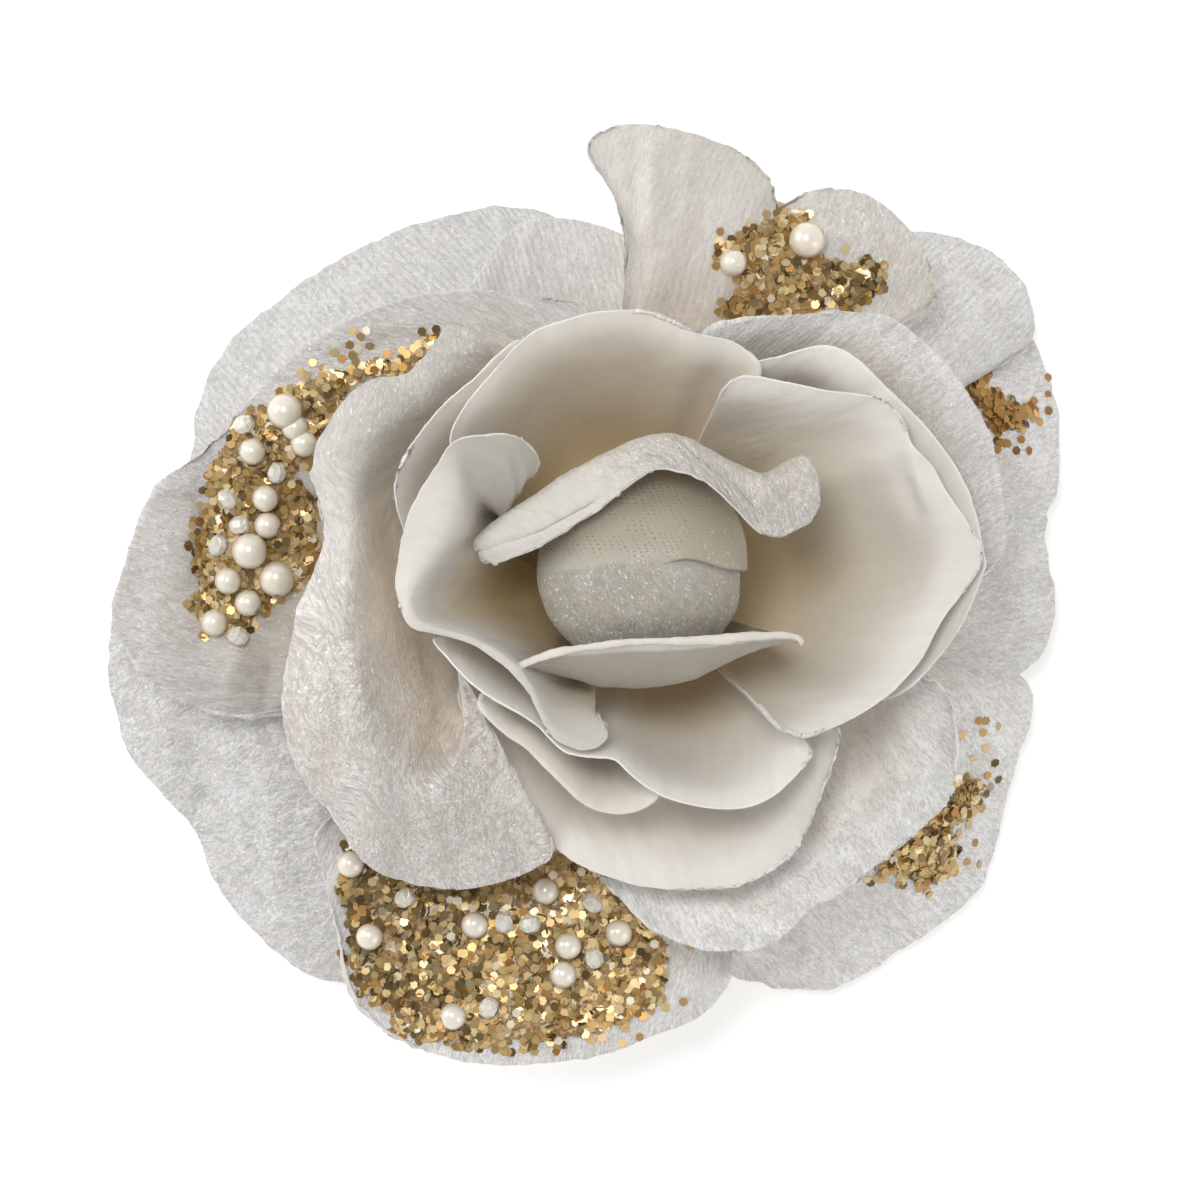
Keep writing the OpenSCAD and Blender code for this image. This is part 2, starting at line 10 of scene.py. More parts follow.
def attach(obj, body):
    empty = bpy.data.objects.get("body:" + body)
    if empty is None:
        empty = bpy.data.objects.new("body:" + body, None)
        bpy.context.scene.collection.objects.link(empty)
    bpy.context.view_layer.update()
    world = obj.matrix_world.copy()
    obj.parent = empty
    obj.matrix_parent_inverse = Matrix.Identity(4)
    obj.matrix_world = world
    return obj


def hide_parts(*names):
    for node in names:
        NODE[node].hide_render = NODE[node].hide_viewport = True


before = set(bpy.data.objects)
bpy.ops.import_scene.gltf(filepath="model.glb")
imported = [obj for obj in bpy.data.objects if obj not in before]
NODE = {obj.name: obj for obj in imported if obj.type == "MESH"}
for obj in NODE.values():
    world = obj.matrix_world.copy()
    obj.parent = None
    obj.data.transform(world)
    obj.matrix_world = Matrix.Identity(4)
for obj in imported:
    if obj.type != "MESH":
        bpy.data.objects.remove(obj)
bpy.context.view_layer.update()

scene = bpy.context.scene

# ---------------------------------------------------------------- camera and light
cam_data = bpy.data.cameras.new("camera")
cam_data.lens, cam_data.sensor_width = 400, 36
cam_data.clip_start, cam_data.clip_end = 0.05, 20
camera = bpy.data.objects.new("camera", cam_data)
camera.location = (0.000385, 0.000605, 1.468)
scene.collection.objects.link(camera)
scene.camera = camera
scene.view_settings.view_transform = "Standard"
scene.view_settings.look = "None"


def area_light(name, at, aim, size, watts, colour=(1, 1, 1)):
    d = bpy.data.lights.new(name, "AREA")
    d.shape, d.size, d.size_y = "RECTANGLE", size[0], size[1]
    d.energy, d.color = watts, colour
    o = bpy.data.objects.new(name, d)
    o.location = at
    o.rotation_euler = (Vector(aim) - Vector(at)).to_track_quat("-Z", "Y").to_euler()
    scene.collection.objects.link(o)


KEY, LEFT, RIGHT, ZENITH, HORIZON = 5.2, 3.4, 1.6, 0.36, 0.86
area_light("key", (-0.16, 0.30, 1.15), (0, 0, 0.03), (0.40, 0.40), KEY, (1.0, 0.995, 0.985))
area_light("left", (-0.85, 0.35, 0.55), (0, 0, 0.02), (0.6, 0.6), LEFT, (0.99, 0.995, 1.0))
area_light("right", (0.75, -0.45, 0.55), (0, 0, 0.02), (0.6, 0.6), RIGHT, (1.0, 0.995, 0.99))
# a white tent, brighter round the sides than overhead
world = bpy.data.worlds.new("studio")
scene.world = world
world.use_nodes = True
wt = world.node_tree
up = wt.nodes.new("ShaderNodeSeparateXYZ")
wt.links.new(wt.nodes.new("ShaderNodeTexCoord").outputs["Generated"], up.inputs[0])
glow = wt.nodes.new("ShaderNodeMapRange")
glow.interpolation_type = "SMOOTHSTEP"
for i, v in ((1, 0.15), (2, 0.95), (3, HORIZON), (4, ZENITH)):
    glow.inputs[i].default_value = v
wt.links.new(up.outputs[2], glow.inputs[0])
wt.links.new(glow.outputs[0], wt.nodes["Background"].inputs["Strength"])
wt.nodes["Background"].inputs["Color"].default_value = (0.985, 0.99, 1.0, 1)
scene.cycles.diffuse_bounces = 6

# ---------------------------------------------------------------- drafting grid and petal surfaces
UNIT = 106.5 / 968
HUB = np.array([33 * UNIT, 11 * UNIT])
BUD = np.array([53 * UNIT, 26 * UNIT])

OUT = [[0.3, 0], [0.6, 0.06], [0.82, 0.42]]
FLAT = [[0.3, 0.55], [0.6, 1.05], [0.82, 1.2]]
TURN = [[0.32, 0.18], [0.62, 0.56], [0.85, 0.93]]
BOWL = [[0.34, 0.17], [0.66, 0.55], [0.88, 0.9]]
BUD_PROFILE = [[2.2, 20.9], [4.8, 24], [7.8, 28], [10.2, 32], [11.3, 35], [11, 37.6], [9.6, 40.4], [7.2, 42.8], [4.2, 44.4], [0, 45]]
BUD_TOP = [[5, 19.8, 20, 160], [[0.5, 0.22], [0.92, 0.6]], [
    [[812, 474, 40.6], [803, 466, 41.2], [790, 470, 41.6], [766, 483, 42.2], [740, 477, 42.6], [709, 459, 43], [681, 445, 43.2], [660, 443, 43.2], [634, 450, 43], [596, 468, 42.6], [568, 482, 42.2], [538, 502, 41.8], [510, 521, 41.2], [490, 536, 40.2], [480, 547, 39.2], [482, 556, 38.4]],
    [[817, 500, 41.4], [810, 520, 42.2], [794, 531, 42.8], [776, 538, 43.2], [756, 532, 44], [737, 515, 45], [714, 492, 45.8], [689, 476, 46.3], [664, 471, 46.4], [643, 478, 46.4], [606, 506, 46.2], [577, 525, 45.4], [550, 542, 44.2], [522, 555, 42.8], [499, 564, 41.2], [482, 561, 39.8]]], 18, 0.5]
BUD_BOTTOM = [[5, 19.7, 222, 340], [[0.5, 0.22], [0.92, 0.62]], [
    [[527, 662, 38.6], [548, 666, 38], [572, 671, 37.8], [598, 677, 37.6], [628, 679, 37.6], [655, 678, 37.6], [683, 673, 37.8], [711, 663, 38.2], [737, 651, 38.8], [763, 641, 39.6], [785, 636, 40.4]],
    [[514, 663, 41.4], [535, 654, 42.8], [566, 645, 44.6], [604, 639, 45.6], [641, 635, 46], [679, 634, 45.8], [709, 632, 45.2], [745, 630, 44.4], [777, 629, 43.4], [797, 632, 42.4], [805, 642, 41.4]]], 16, 0.5]
HEART_LEFT = [[6.2, 18.9, 160, 240], [[0.4, 0.24], [0.75, 0.64]], [
    [[506, 522, 38.4], [496, 512, 39.4], [488, 505, 40], [482, 502, 40.4], [478, 504, 40.4], [476, 514, 40], [474, 528, 39.4], [466, 546, 38.8], [452, 568, 38.4], [440, 588, 38.2], [437, 603, 38.4], [444, 614, 38.8], [458, 620, 39.2], [475, 627, 39.4], [493, 636, 39.2], [512, 648, 38.8], [528, 662, 38.4], [541, 678, 37.8], [550, 690, 37.4], [563, 700, 37.4], [579, 704, 37.4], [590, 706, 37.4], [596, 710, 37.4]],
    [[524, 488, 41.2], [512, 479, 42], [497, 470, 42.8], [480, 465, 43.2], [466, 466, 43.4], [461, 480, 43.5], [460, 500, 43.4], [452, 528, 43.3], [437, 556, 43.2], [421, 580, 43.2], [414, 601, 43.2], [420, 618, 43.3], [436, 627, 43.4], [458, 632, 43.4], [480, 640, 43.1], [502, 653, 42.7], [520, 669, 42.1], [534, 688, 41.3], [543, 706, 40.5], [556, 724, 39.9], [577, 734, 39.6], [596, 731, 39.4], [605, 722, 39.1]],
    [[543, 467, 41.4], [535, 452, 42.2], [516, 437, 43], [484, 438, 43.2], [456, 443, 43.1], [444, 460, 42.6], [426, 488, 42.2], [409, 520, 42], [401, 553, 41.8], [397, 581, 41.8], [403, 612, 42.1], [415, 628, 42.6], [436, 633, 42.9], [458, 638, 42.9], [478, 646, 42.6], [499, 659, 42.2], [517, 674, 41.6], [530, 692, 40.8], [539, 713, 40], [552, 735, 39.5], [576, 747, 39.2], [598, 745, 39], [611, 732, 38.8]]], 22, 0.5]
HEART_RIGHT = [[6.2, 18.8, 324, 415], BOWL, [
    [[768, 712, 40], [784, 728, 39.8], [803, 734, 39.6], [838, 722, 39], [880, 697, 38.2], [915, 662, 37.6], [938, 620, 37], [962, 588, 36.5], [978, 561, 36.4], [973, 538, 36.6], [942, 492, 37.2], [928, 466, 37.8], [908, 446, 38.4], [900, 424, 39], [882, 404, 39.6], [855, 397, 40.2], [825, 394, 40.7], [788, 386, 41.3], [755, 380, 41.8], [728, 378, 41.6]]], 20, 0.7]
HEART_BOTTOM = [[7.1, 17.7, 216, 318], BOWL, [
    [[430, 634, 36.6], [450, 658, 38.2], [468, 678, 39], [484, 691, 39], [505, 704, 38.8], [524, 714, 38.6], [540, 725, 38.4], [553, 739, 38.2], [567, 751, 38], [588, 755, 37.8], [613, 757, 37.6], [627, 769, 37.3], [650, 787, 36.8], [679, 800, 36.4], [712, 806, 36.1], [744, 805, 36], [768, 796, 36.2], [789, 778, 36.4], [805, 760, 36.7], [809, 742, 36.8]]], 16, 0.6]
CUP_TOP = [[7.6, 17.9, 58, 142], BOWL, [
    [[757, 388, 39.6], [757, 368, 40.2], [745, 355, 40.8], [728, 344, 41.4], [698, 338, 42], [668, 323, 42.4], [640, 315, 42.4], [613, 315, 42.4], [586, 318, 42.4], [560, 326, 42.2], [535, 335, 41.8], [512, 355, 41.4], [493, 377, 41], [477, 395, 40.6], [462, 416, 40.2], [452, 440, 39.6], [455, 466, 38]]], 16, 0.7]
CUP_ROLL = [[8.2, 16.9, 226, 282], BOWL, [
    [[476, 700, 35.2], [500, 728, 35.4], [522, 742, 35.2], [545, 763, 35.2], [566, 785, 34.9], [588, 804, 34.6], [612, 812, 34.4], [636, 809, 34.4], [652, 800, 34.4], [662, 786, 34.4]]], 10, 0.8]
CUP_RIGHT = [[8.8, 17.1, 4, 55], BOWL, [
    [[984, 575, 34], [979, 547, 34.6], [972, 515, 35], [962, 486, 35.4], [944, 456, 36], [920, 426, 37], [889, 396, 38], [858, 366, 38.6], [836, 352, 38.8], [814, 349, 38.9], [783, 358, 38.9], [756, 364, 38.8], [735, 372, 38]]], 12, 0.9]
CUP_LEFT = [[8.8, 17.1, 114, 166], BOWL, [
    [[525, 338, 37.6], [500, 357, 38.4], [478, 379, 38.4], [448, 404, 38.4], [422, 435, 38.4], [406, 461, 38.2], [397, 490, 37.8], [402, 520, 36.6], [414, 548, 34]]], 10, 0.8]
CUP_EDGE = [[8.8, 17.1, 330, 363], BOWL, [
    [[885, 700, 34.6], [912, 682, 35], [938, 654, 35], [958, 626, 34.8], [973, 592, 34.8], [984, 560, 34.8]]], 8, 0.8]
CUP_BOTTOM = [[9.4, 16.2, 200, 330], TURN, [
    [[452, 690, 25], [480, 748, 25.6], [515, 806, 25.8], [548, 843, 26.4], [578, 862, 27.4], [612, 877, 28.4], [652, 887, 29], [701, 889, 29.4], [744, 884, 29.8], [780, 865, 30.4], [802, 838, 31.2], [818, 800, 32.2], [831, 765, 33.2], [838, 735, 33.8], [836, 712, 33.8]]], 18, 1.2]
VELVET_LEFT = [[10, 16.1, 122, 188], [[0.4, 0.28], [0.75, 0.7]], [
    [[490, 350, 35.6], [455, 372, 35.6], [432, 398, 35.4], [400, 418, 35.4], [374, 438, 36], [360, 470, 35.8], [354, 510, 35.8], [354, 550, 35.8], [352, 590, 35.8], [350, 640, 35.4], [352, 690, 34.6], [364, 735, 33.8], [384, 772, 32.6], [408, 792, 31.6], [438, 786, 31.4], [460, 752, 31.6], [464, 704, 32.2], [452, 650, 33.2]],
    [[455, 318, 34.4], [428, 350, 34.2], [406, 377, 34.2], [362, 386, 32.8], [332, 424, 31.2], [315, 458, 30.2], [317, 505, 29.8], [324, 545, 29.2], [307, 585, 28.8], [292, 640, 28], [283, 712, 27.4], [303, 775, 27], [335, 812, 26.6], [374, 868, 25.6], [430, 887, 25.6], [500, 884, 26], [562, 856, 27.2]]], 26, 1.0]
VELVET_RIGHT = [[10, 16.3, 356, 436], TURN, [
    [[980, 580, 30], [1002, 552, 30.4], [1001, 530, 31], [998, 505, 31.6], [994, 475, 32], [986, 440, 32.5], [970, 405, 33], [946, 371, 33.8], [919, 342, 34.6], [885, 319, 35.4], [840, 313, 35.6], [790, 317, 35.8], [740, 321, 36], [698, 333, 36.4]]], 18, 1.2]
VELVET_BOTTOM = [[10.2, 15.5, 262, 347], TURN, [
    [[590, 862, 24], [615, 896, 24.4], [642, 921, 24.6], [670, 938, 24.8], [702, 946, 25], [745, 949, 25.4], [780, 938, 25.8], [806, 910, 26.2], [842, 892, 26.8], [880, 862, 27.6], [920, 830, 28.6], [950, 798, 29.6], [957, 756, 30.4], [953, 712, 31], [938, 685, 31.4], [918, 672, 31.6]]], 20, 1.2]
GLITTER_TOP = [[11.4, 15.3, 44, 93], [[0.4, 0.5], [0.75, 0.92]], [
    [[868, 345, 22], [862, 310, 22.4], [850, 286, 22.6], [830, 268, 22.8], [800, 258, 23.4], [778, 256, 24], [758, 254, 24.8], [738, 248, 25.6], [720, 242, 26.2], [700, 236, 26.8], [682, 232, 27.4], [664, 232, 28], [650, 234, 28.2], [640, 238, 27.8], [633, 244, 27], [628, 250, 26.2], [624, 256, 25.4]],
    [[940, 300, 20.6], [928, 255, 21], [908, 225, 21], [880, 203, 21], [848, 189, 21], [812, 189, 21.4], [782, 203, 22], [770, 178, 22.8], [748, 156, 24], [720, 143, 25.2], [688, 133, 26.4], [650, 125, 27.2], [612, 127, 26.4], [588, 142, 25.2], [594, 166, 24.6], [612, 188, 24.6], [621, 216, 24.4]]], 20, 0.6]
GLITTER_LEFT = [[11.4, 15.3, 100, 208], FLAT, [
    [[590, 300, 23.6], [530, 294, 22.4], [450, 290, 21], [396, 301, 20], [345, 321, 19.4], [300, 352, 19], [262, 385, 18.8], [226, 421, 18.6], [203, 449, 18], [180, 464, 17.4], [158, 484, 16.8], [143, 515, 16.2], [125, 560, 15.6], [111, 605, 15.2], [120, 645, 15], [150, 685, 15.2], [195, 708, 15.6], [240, 716, 16], [290, 712, 16]]], 22, 1.3]
GLITTER_BOTTOM = [[11.4, 14.5, 224, 292], FLAT, [
    [[308, 835, 15.8], [322, 880, 15.2], [332, 925, 15.2], [338, 965, 15], [348, 1000, 15], [370, 1028, 15], [410, 1051, 15], [450, 1061, 15], [500, 1066, 15], [550, 1063, 15], [600, 1056, 15], [640, 1044, 15], [680, 1026, 15], [715, 1000, 15], [732, 970, 15.4], [738, 935, 16]]], 18, 1.3]
SMALL_TOP = [[12.4, 14.4, 80, 120], FLAT, [
    [[650, 245, 16.2], [612, 228, 16.2], [580, 219, 15.8], [550, 215, 15.4], [522, 222, 15.2], [501, 237, 15.2], [487, 258, 15.4], [474, 280, 15.6], [452, 305, 16]]], 10, 1.0]
OUTER_BACK = [[12.4, 14.4, 27, 58], OUT, [
    [[1043, 340, 6], [1037, 300, 4.4], [1020, 265, 3.2], [992, 242, 2.8], [955, 231, 3.6], [905, 226, 5.4], [870, 226, 7]]], 8, 1.3]
OUTER_RIGHT = [[13.2, 13.4, 347, 394], OUT, [
    [[1000, 690, 6.6], [1032, 672, 5.8], [1052, 650, 4.8], [1062, 620, 4], [1060, 580, 3.8], [1054, 545, 4.2], [1052, 520, 4.2], [1062, 490, 3.6], [1069, 450, 3], [1070, 415, 2.8], [1060, 378, 2.6], [1047, 345, 2.4], [1030, 310, 2.6], [1010, 285, 4]]], 14, 1.2]
OUTER_LOWER_RIGHT = [[13.2, 13.4, 282, 345], OUT, [
    [[700, 960, 5], [735, 985, 3.2], [775, 995, 2.6], [820, 997, 2.4], [865, 984, 2.2], [905, 955, 2.2], [948, 926, 2.2], [980, 897, 2.2], [1001, 862, 2.3], [1010, 820, 2.6], [1019, 775, 2.8], [1034, 730, 3], [1038, 706, 3], [1028, 682, 3.4], [1000, 660, 5]]], 16, 1.4]
OUTER_UPPER_LEFT = [[13.2, 13.4, 92, 172], OUT, [
    [[585, 240, 9], [560, 216, 7.8], [528, 204, 6.6], [490, 199, 5.4], [440, 208, 4.2], [395, 222, 3.4], [350, 242, 3], [300, 273, 2.6], [252, 311, 2.4], [214, 355, 2.3], [195, 400, 2.3], [188, 440, 2.4], [186, 478, 3], [190, 515, 4]]], 16, 1.5]
OUTER_LOWER_LEFT = [[13.2, 13.4, 172, 242], OUT, [
    [[140, 545, 7], [115, 590, 5], [105, 640, 4], [103, 680, 3.4], [111, 722, 3], [128, 762, 2.6], [155, 798, 2.4], [180, 826, 2.4], [194, 850, 2.4], [207, 878, 2.3], [230, 912, 2.2], [266, 952, 2.2], [306, 981, 2.3], [345, 992, 2.8], [380, 985, 4]]], 16, 1.3]

def mm(p):
    """Grid points (x, y, height) as millimetres."""
    p = np.asarray(p, float)
    return np.stack([(p[..., 0] - 587) * UNIT, (596 - p[..., 1]) * UNIT, p[..., 2]], -1)


def catmull(a, b, c, d, t):
    return 0.5 * (2 * b + (c - a) * t + (2 * a - 5 * b + 4 * c - d) * t * t + (3 * b - a - 3 * c + d) * t ** 3)


def along(p, s):
    """Smooth curve through the points p at each s from 0 to 1."""
    p, n = np.asarray(p, float), len(p) - 1
    x = np.clip(s, 0, 1) * n
    i = np.minimum(np.floor(x).astype(int), n - 1)
    t = (x - i).reshape(x.shape + (1,) * (p.ndim - 1))
    return catmull(p[np.maximum(i - 1, 0)], p[i], p[i + 1], p[np.minimum(i + 2, n)], t)


SMOOTHED = {}


def relaxed(row, radius):
    """A drawn line as a dense curve, with its corners eased over about radius mm and its ends kept."""
    key = (repr(row), radius)
    if key not in SMOOTHED:
        s = np.linspace(0, 1, 401)
        c = along(mm(row), s)
        long = np.linalg.norm(np.diff(c, axis=0), axis=1).sum()
        w = max(1, int(400 * radius / long))
        k = np.exp(-0.5 * (np.arange(-3 * w, 3 * w + 1) / w) ** 2)
        k /= k.sum()
        pad = 3 * w
        ext = np.concatenate([2 * c[0] - c[pad:0:-1], c, 2 * c[-1] - c[-2:-pad - 2:-1]])
        SMOOTHED[key] = np.stack([np.convolve(ext[:, i], k, "valid") for i in range(3)], -1)
    return SMOOTHED[key]


def rows_of(P, u):
    """(rows, len(u), 3): each control row of the petal, from its root to its rim, at each u."""
    a = np.radians(P[0][2] + u * (P[0][3] - P[0][2]))
    base = np.stack([HUB[0] + P[0][0] * np.cos(a), HUB[1] + P[0][0] * np.sin(a), np.full_like(a, P[0][1])], -1)
    radius = P[4] if len(P) > 4 else 1.0
    drawn = [np.stack([np.interp(u, np.linspace(0, 1, 401), relaxed(r, radius)[:, i]) for i in range(3)], -1) for r in P[2]]
    auto = [np.concatenate([base[:, :2] + m[0] * (drawn[0][:, :2] - base[:, :2]), base[:, 2:] + m[1] * (drawn[0][:, 2:] - base[:, 2:])], 1) for m in P[1]]
    return np.stack([base] + auto + drawn)


def surface(P, u, V):
    """The petal's front at u (nu) and V (nu, nv), in millimetres."""
    R = rows_of(P, u)
    n = len(R) - 1
    x = np.clip(V, 0, 1) * n
    i = np.minimum(np.floor(x).astype(int), n - 1)
    k = np.arange(len(u))[:, None]
    return catmull(R[np.maximum(i - 1, 0), k], R[i, k], R[i + 1, k], R[np.minimum(i + 2, n), k], (x - i)[..., None])


def unit(v):
    return v / np.maximum(np.linalg.norm(v, axis=-1, keepdims=True), 1e-12)


def backs(g):
    """The way out of the back of a grid of points."""
    du = np.empty_like(g)
    dv = np.empty_like(g)
    du[1:-1], du[0], du[-1] = g[2:] - g[:-2], g[1] - g[0], g[-1] - g[-2]
    dv[:, 1:-1], dv[:, 0], dv[:, -1] = g[:, 2:] - g[:, :-2], g[:, 1] - g[:, 0], g[:, -1] - g[:, -2]
    return unit(np.cross(du, dv))


def soft(a, b, x):
    t = np.clip((x - a) / (b - a), 0, 1)
    return t * t * (3 - 2 * t)


class Field:
    """Smooth random field with about one bump per unit, from -1 to 1."""

    def __init__(self, seed):
        self.g = np.random.RandomState(seed).rand(64, 64) * 2 - 1

    def one(self, x, y):
        xi, yi = np.floor(x).astype(int), np.floor(y).astype(int)
        fx, fy = x - xi, y - yi
        fx, fy = fx ** 3 * (fx * (fx * 6 - 15) + 10), fy ** 3 * (fy * (fy * 6 - 15) + 10)
        g = self.g
        a, b = g[xi % 64, yi % 64], g[(xi + 1) % 64, yi % 64]
        c, d = g[xi % 64, (yi + 1) % 64], g[(xi + 1) % 64, (yi + 1) % 64]
        return (a * (1 - fx) + b * fx) * (1 - fy) + (c * (1 - fx) + d * fx) * fy

    def __call__(self, x, y, octaves=3, fall=0.5):
        s, k, f = 0, 1.0, 1.0
        for o in range(octaves):
            s = s + k * self.one(x * f + 11.3 * o, y * f + 7.7 * o)
            k, f = k * fall, f * 2
        return s


def arc(g, axis):
    d = np.linalg.norm(np.diff(g, axis=axis), axis=-1)
    z = np.zeros_like(np.take(d, [0], axis=axis))
    return np.concatenate([z, np.cumsum(d, axis=axis)], axis=axis)


def mesh_object(name, verts_mm, quads, tris, mat_of, materials, attributes=None, smooth=True):
    """A mesh object in metres from points in millimetres. quads and tris are index arrays, mat_of their material numbers in that order."""
    me = bpy.data.meshes.new(name)
    verts = np.asarray(verts_mm, np.float64) * 0.001
    nq, nt = len(quads), len(tris)
    me.vertices.add(len(verts))
    me.vertices.foreach_set("co", verts.astype(np.float32).ravel())
    loops = np.concatenate([np.asarray(quads, np.int64).ravel(), np.asarray(tris, np.int64).ravel()]).astype(np.int32)
    me.loops.add(len(loops))
    me.loops.foreach_set("vertex_index", loops)
    me.polygons.add(nq + nt)
    starts = np.concatenate([np.arange(nq) * 4, nq * 4 + np.arange(nt) * 3]).astype(np.int32)
    totals = np.concatenate([np.full(nq, 4), np.full(nt, 3)]).astype(np.int32)
    me.polygons.foreach_set("loop_start", starts)
    me.polygons.foreach_set("loop_total", totals)
    me.update(calc_edges=True)
    me.polygons.foreach_set("use_smooth", np.full(nq + nt, smooth))
    for m in materials:
        me.materials.append(m)
    me.polygons.foreach_set("material_index", np.asarray(mat_of, np.int32))
    for k, v in (attributes or {}).items():
        v = np.asarray(v, np.float32)
        if v.ndim == 1:
            me.attributes.new(k, "FLOAT", "POINT").data.foreach_set("value", v)
        else:
            me.attributes.new(k, "FLOAT_VECTOR", "POINT").data.foreach_set("vector", v.ravel())
    me.validate()
    me.update()
    o = bpy.data.objects.new(name, me)
    scene.collection.objects.link(o)
    return o


def closed_sheet(name, G, thick, materials, attributes, lip=0.42):
    """A sheet of cloth with round edges: front at G, back at G + thick * back. materials are front, back, edge."""
    nu, nv = G.shape[:2]
    b = backs(G)
    T = np.broadcast_to(thick, (nu, nv))[..., None]
    F, B = G, G + b * T
    out_u0, out_u1 = unit(G[0] - G[1]), unit(G[-1] - G[-2])
    out_v = unit(G[:, -1] - G[:, -2])
    ring = [(0, j) for j in range(nv)] + [(i, nv - 1) for i in range(1, nu - 1)] + [(nu - 1, j) for j in range(nv - 1, -1, -1)]
    ri, rj = np.array([r[0] for r in ring]), np.array([r[1] for r in ring])
    way = np.zeros((len(ring), 3))
    way[ri == 0] += out_u0[rj[ri == 0]]
    way[ri == nu - 1] += out_u1[rj[ri == nu - 1]]
    way[rj == nv - 1] += out_v[ri[rj == nv - 1]]
    way = unit(way)
    mid = (F[ri, rj] + B[ri, rj]) / 2 + way * T[ri, rj] * np.where(rj == nv - 1, lip, 0.42)[:, None]
    V = np.concatenate([F.reshape(-1, 3), B.reshape(-1, 3), mid])
    n, m = nu * nv, len(ring)
    idx = np.arange(n).reshape(nu, nv)
    a, bb, c, d = idx[:-1, :-1].ravel(), idx[1:, :-1].ravel(), idx[1:, 1:].ravel(), idx[:-1, 1:].ravel()
    front = np.stack([a, d, c, bb], 1)
    back = np.stack([a, bb, c, d], 1) + n
    r = idx[ri, rj]
    k = np.arange(m - 1)
    e1 = np.stack([r[k], 2 * n + k, 2 * n + k + 1, r[k + 1]], 1)
    e2 = np.stack([2 * n + k, n + r[k], n + r[k + 1], 2 * n + k + 1], 1)
    i = np.arange(nu - 1)
    rootq = np.stack([idx[i, 0], idx[i + 1, 0], n + idx[i + 1, 0], n + idx[i, 0]], 1)
    caps = np.array([[idx[0, 0], n + idx[0, 0], 2 * n], [idx[-1, 0], 2 * n + m - 1, n + idx[-1, 0]]])
    quads = np.concatenate([front, back, e1, e2, rootq])
    mats = np.concatenate([np.zeros(len(front)), np.ones(len(back)), np.full(len(e1) + len(e2), 2), np.full(len(rootq), 1), np.full(2, 2)])
    at = {}
    for key, val in attributes.items():
        f = np.asarray(val, float)
        f = f.reshape((n,) + f.shape[2:])
        at[key] = np.concatenate([f, f, f[r]])
    at["rim"] = np.concatenate([np.zeros(n), np.ones(n), np.full(m, 0.5)])
    o = mesh_object(name, V, quads, caps, mats, materials, at)
    return o, F, B, mid, way

# ---------------------------------------------------------------- materials
class Tree:
    """A small helper to lay out a material's nodes."""

    def __init__(self, name):
        self.m = bpy.data.materials.new(name)
        self.m.use_nodes = True
        self.t = self.m.node_tree
        self.t.nodes.clear()
        self.out = self.t.nodes.new("ShaderNodeOutputMaterial")

    def put(self, socket, value):
        if isinstance(value, bpy.types.NodeSocket):
            self.t.links.new(value, socket)
        elif value is not None:
            socket.default_value = value

    def node(self, kind, inputs=None, **props):
        n = self.t.nodes.new("ShaderNode" + kind)
        for k, v in props.items():
            setattr(n, k, v)
        for k, v in (inputs or {}).items():
            self.put(n.inputs[k], v)
        return n

    def math(self, op, a, b=None, clamp=False):
        return self.node("Math", {0: a, 1: b}, operation=op, use_clamp=clamp).outputs[0]

    def vec(self, op, a, b=None):
        n = self.node("VectorMath", {0: a}, operation=op)
        if b is not None:
            self.put(n.inputs["Scale" if op == "SCALE" else 1], b)
        return n.outputs[0]

    def mix(self, f, a, b, blend="MIX"):
        n = self.node("Mix", data_type="RGBA", blend_type=blend)
        for i, v in ((0, f), (6, a), (7, b)):
            if isinstance(v, tuple) and len(v) == 3:
                v = (*v, 1)
            self.put(n.inputs[i], v)
        return n.outputs[2]

    def ramp(self, x, lo, hi):
        """0 below lo, 1 above hi, smooth between."""
        n = self.node("MapRange", {0: x, 1: lo, 2: hi}, interpolation_type="SMOOTHSTEP")
        return n.outputs[0]

    def attr(self, name):
        return self.node("Attribute", attribute_name=name)

    def noise(self, at, scale=1.0, detail=3.0, rough=0.5, distortion=0.0):
        return self.node("TexNoise", {"Vector": at, "Scale": scale, "Detail": detail, "Roughness": rough, "Distortion": distortion}).outputs[0]

    def scaled(self, at, by):
        return self.node("VectorMath", {0: at, 1: by}, operation="MULTIPLY").outputs[0]

    def principled(self, **inputs):
        n = self.node("BsdfPrincipled")
        for k, v in inputs.items():
            s = n.inputs[k.replace("_", " ")]
            if isinstance(v, tuple) and len(v) == 3 and s.type == "RGBA":
                v = (*v, 1)
            self.put(s, v)
        self.t.links.new(n.outputs[0], self.out.inputs["Surface"])
        return n

    def bump(self, height, distance, strength=1.0, normal=None):
        return self.node("Bump", {"Height": height, "Distance": distance, "Strength": strength, "Normal": normal}).outputs[0]


def glinting_normal(t, at, scale, spread):
    """The surface's normal thrown a different way in each small cell, as short pile fibres lie."""
    v = t.node("TexVoronoi", {"Vector": t.scaled(at, scale), "Scale": 1.0}, voronoi_dimensions="3D")
    thrown = t.vec("SCALE", t.vec("SUBTRACT", v.outputs["Color"], (0.5, 0.5, 0.5)), spread)
    n = t.vec("NORMALIZE", t.vec("ADD", t.node("NewGeometry").outputs["Normal"], thrown))
    return n, v.outputs["Distance"], v.outputs["Color"]


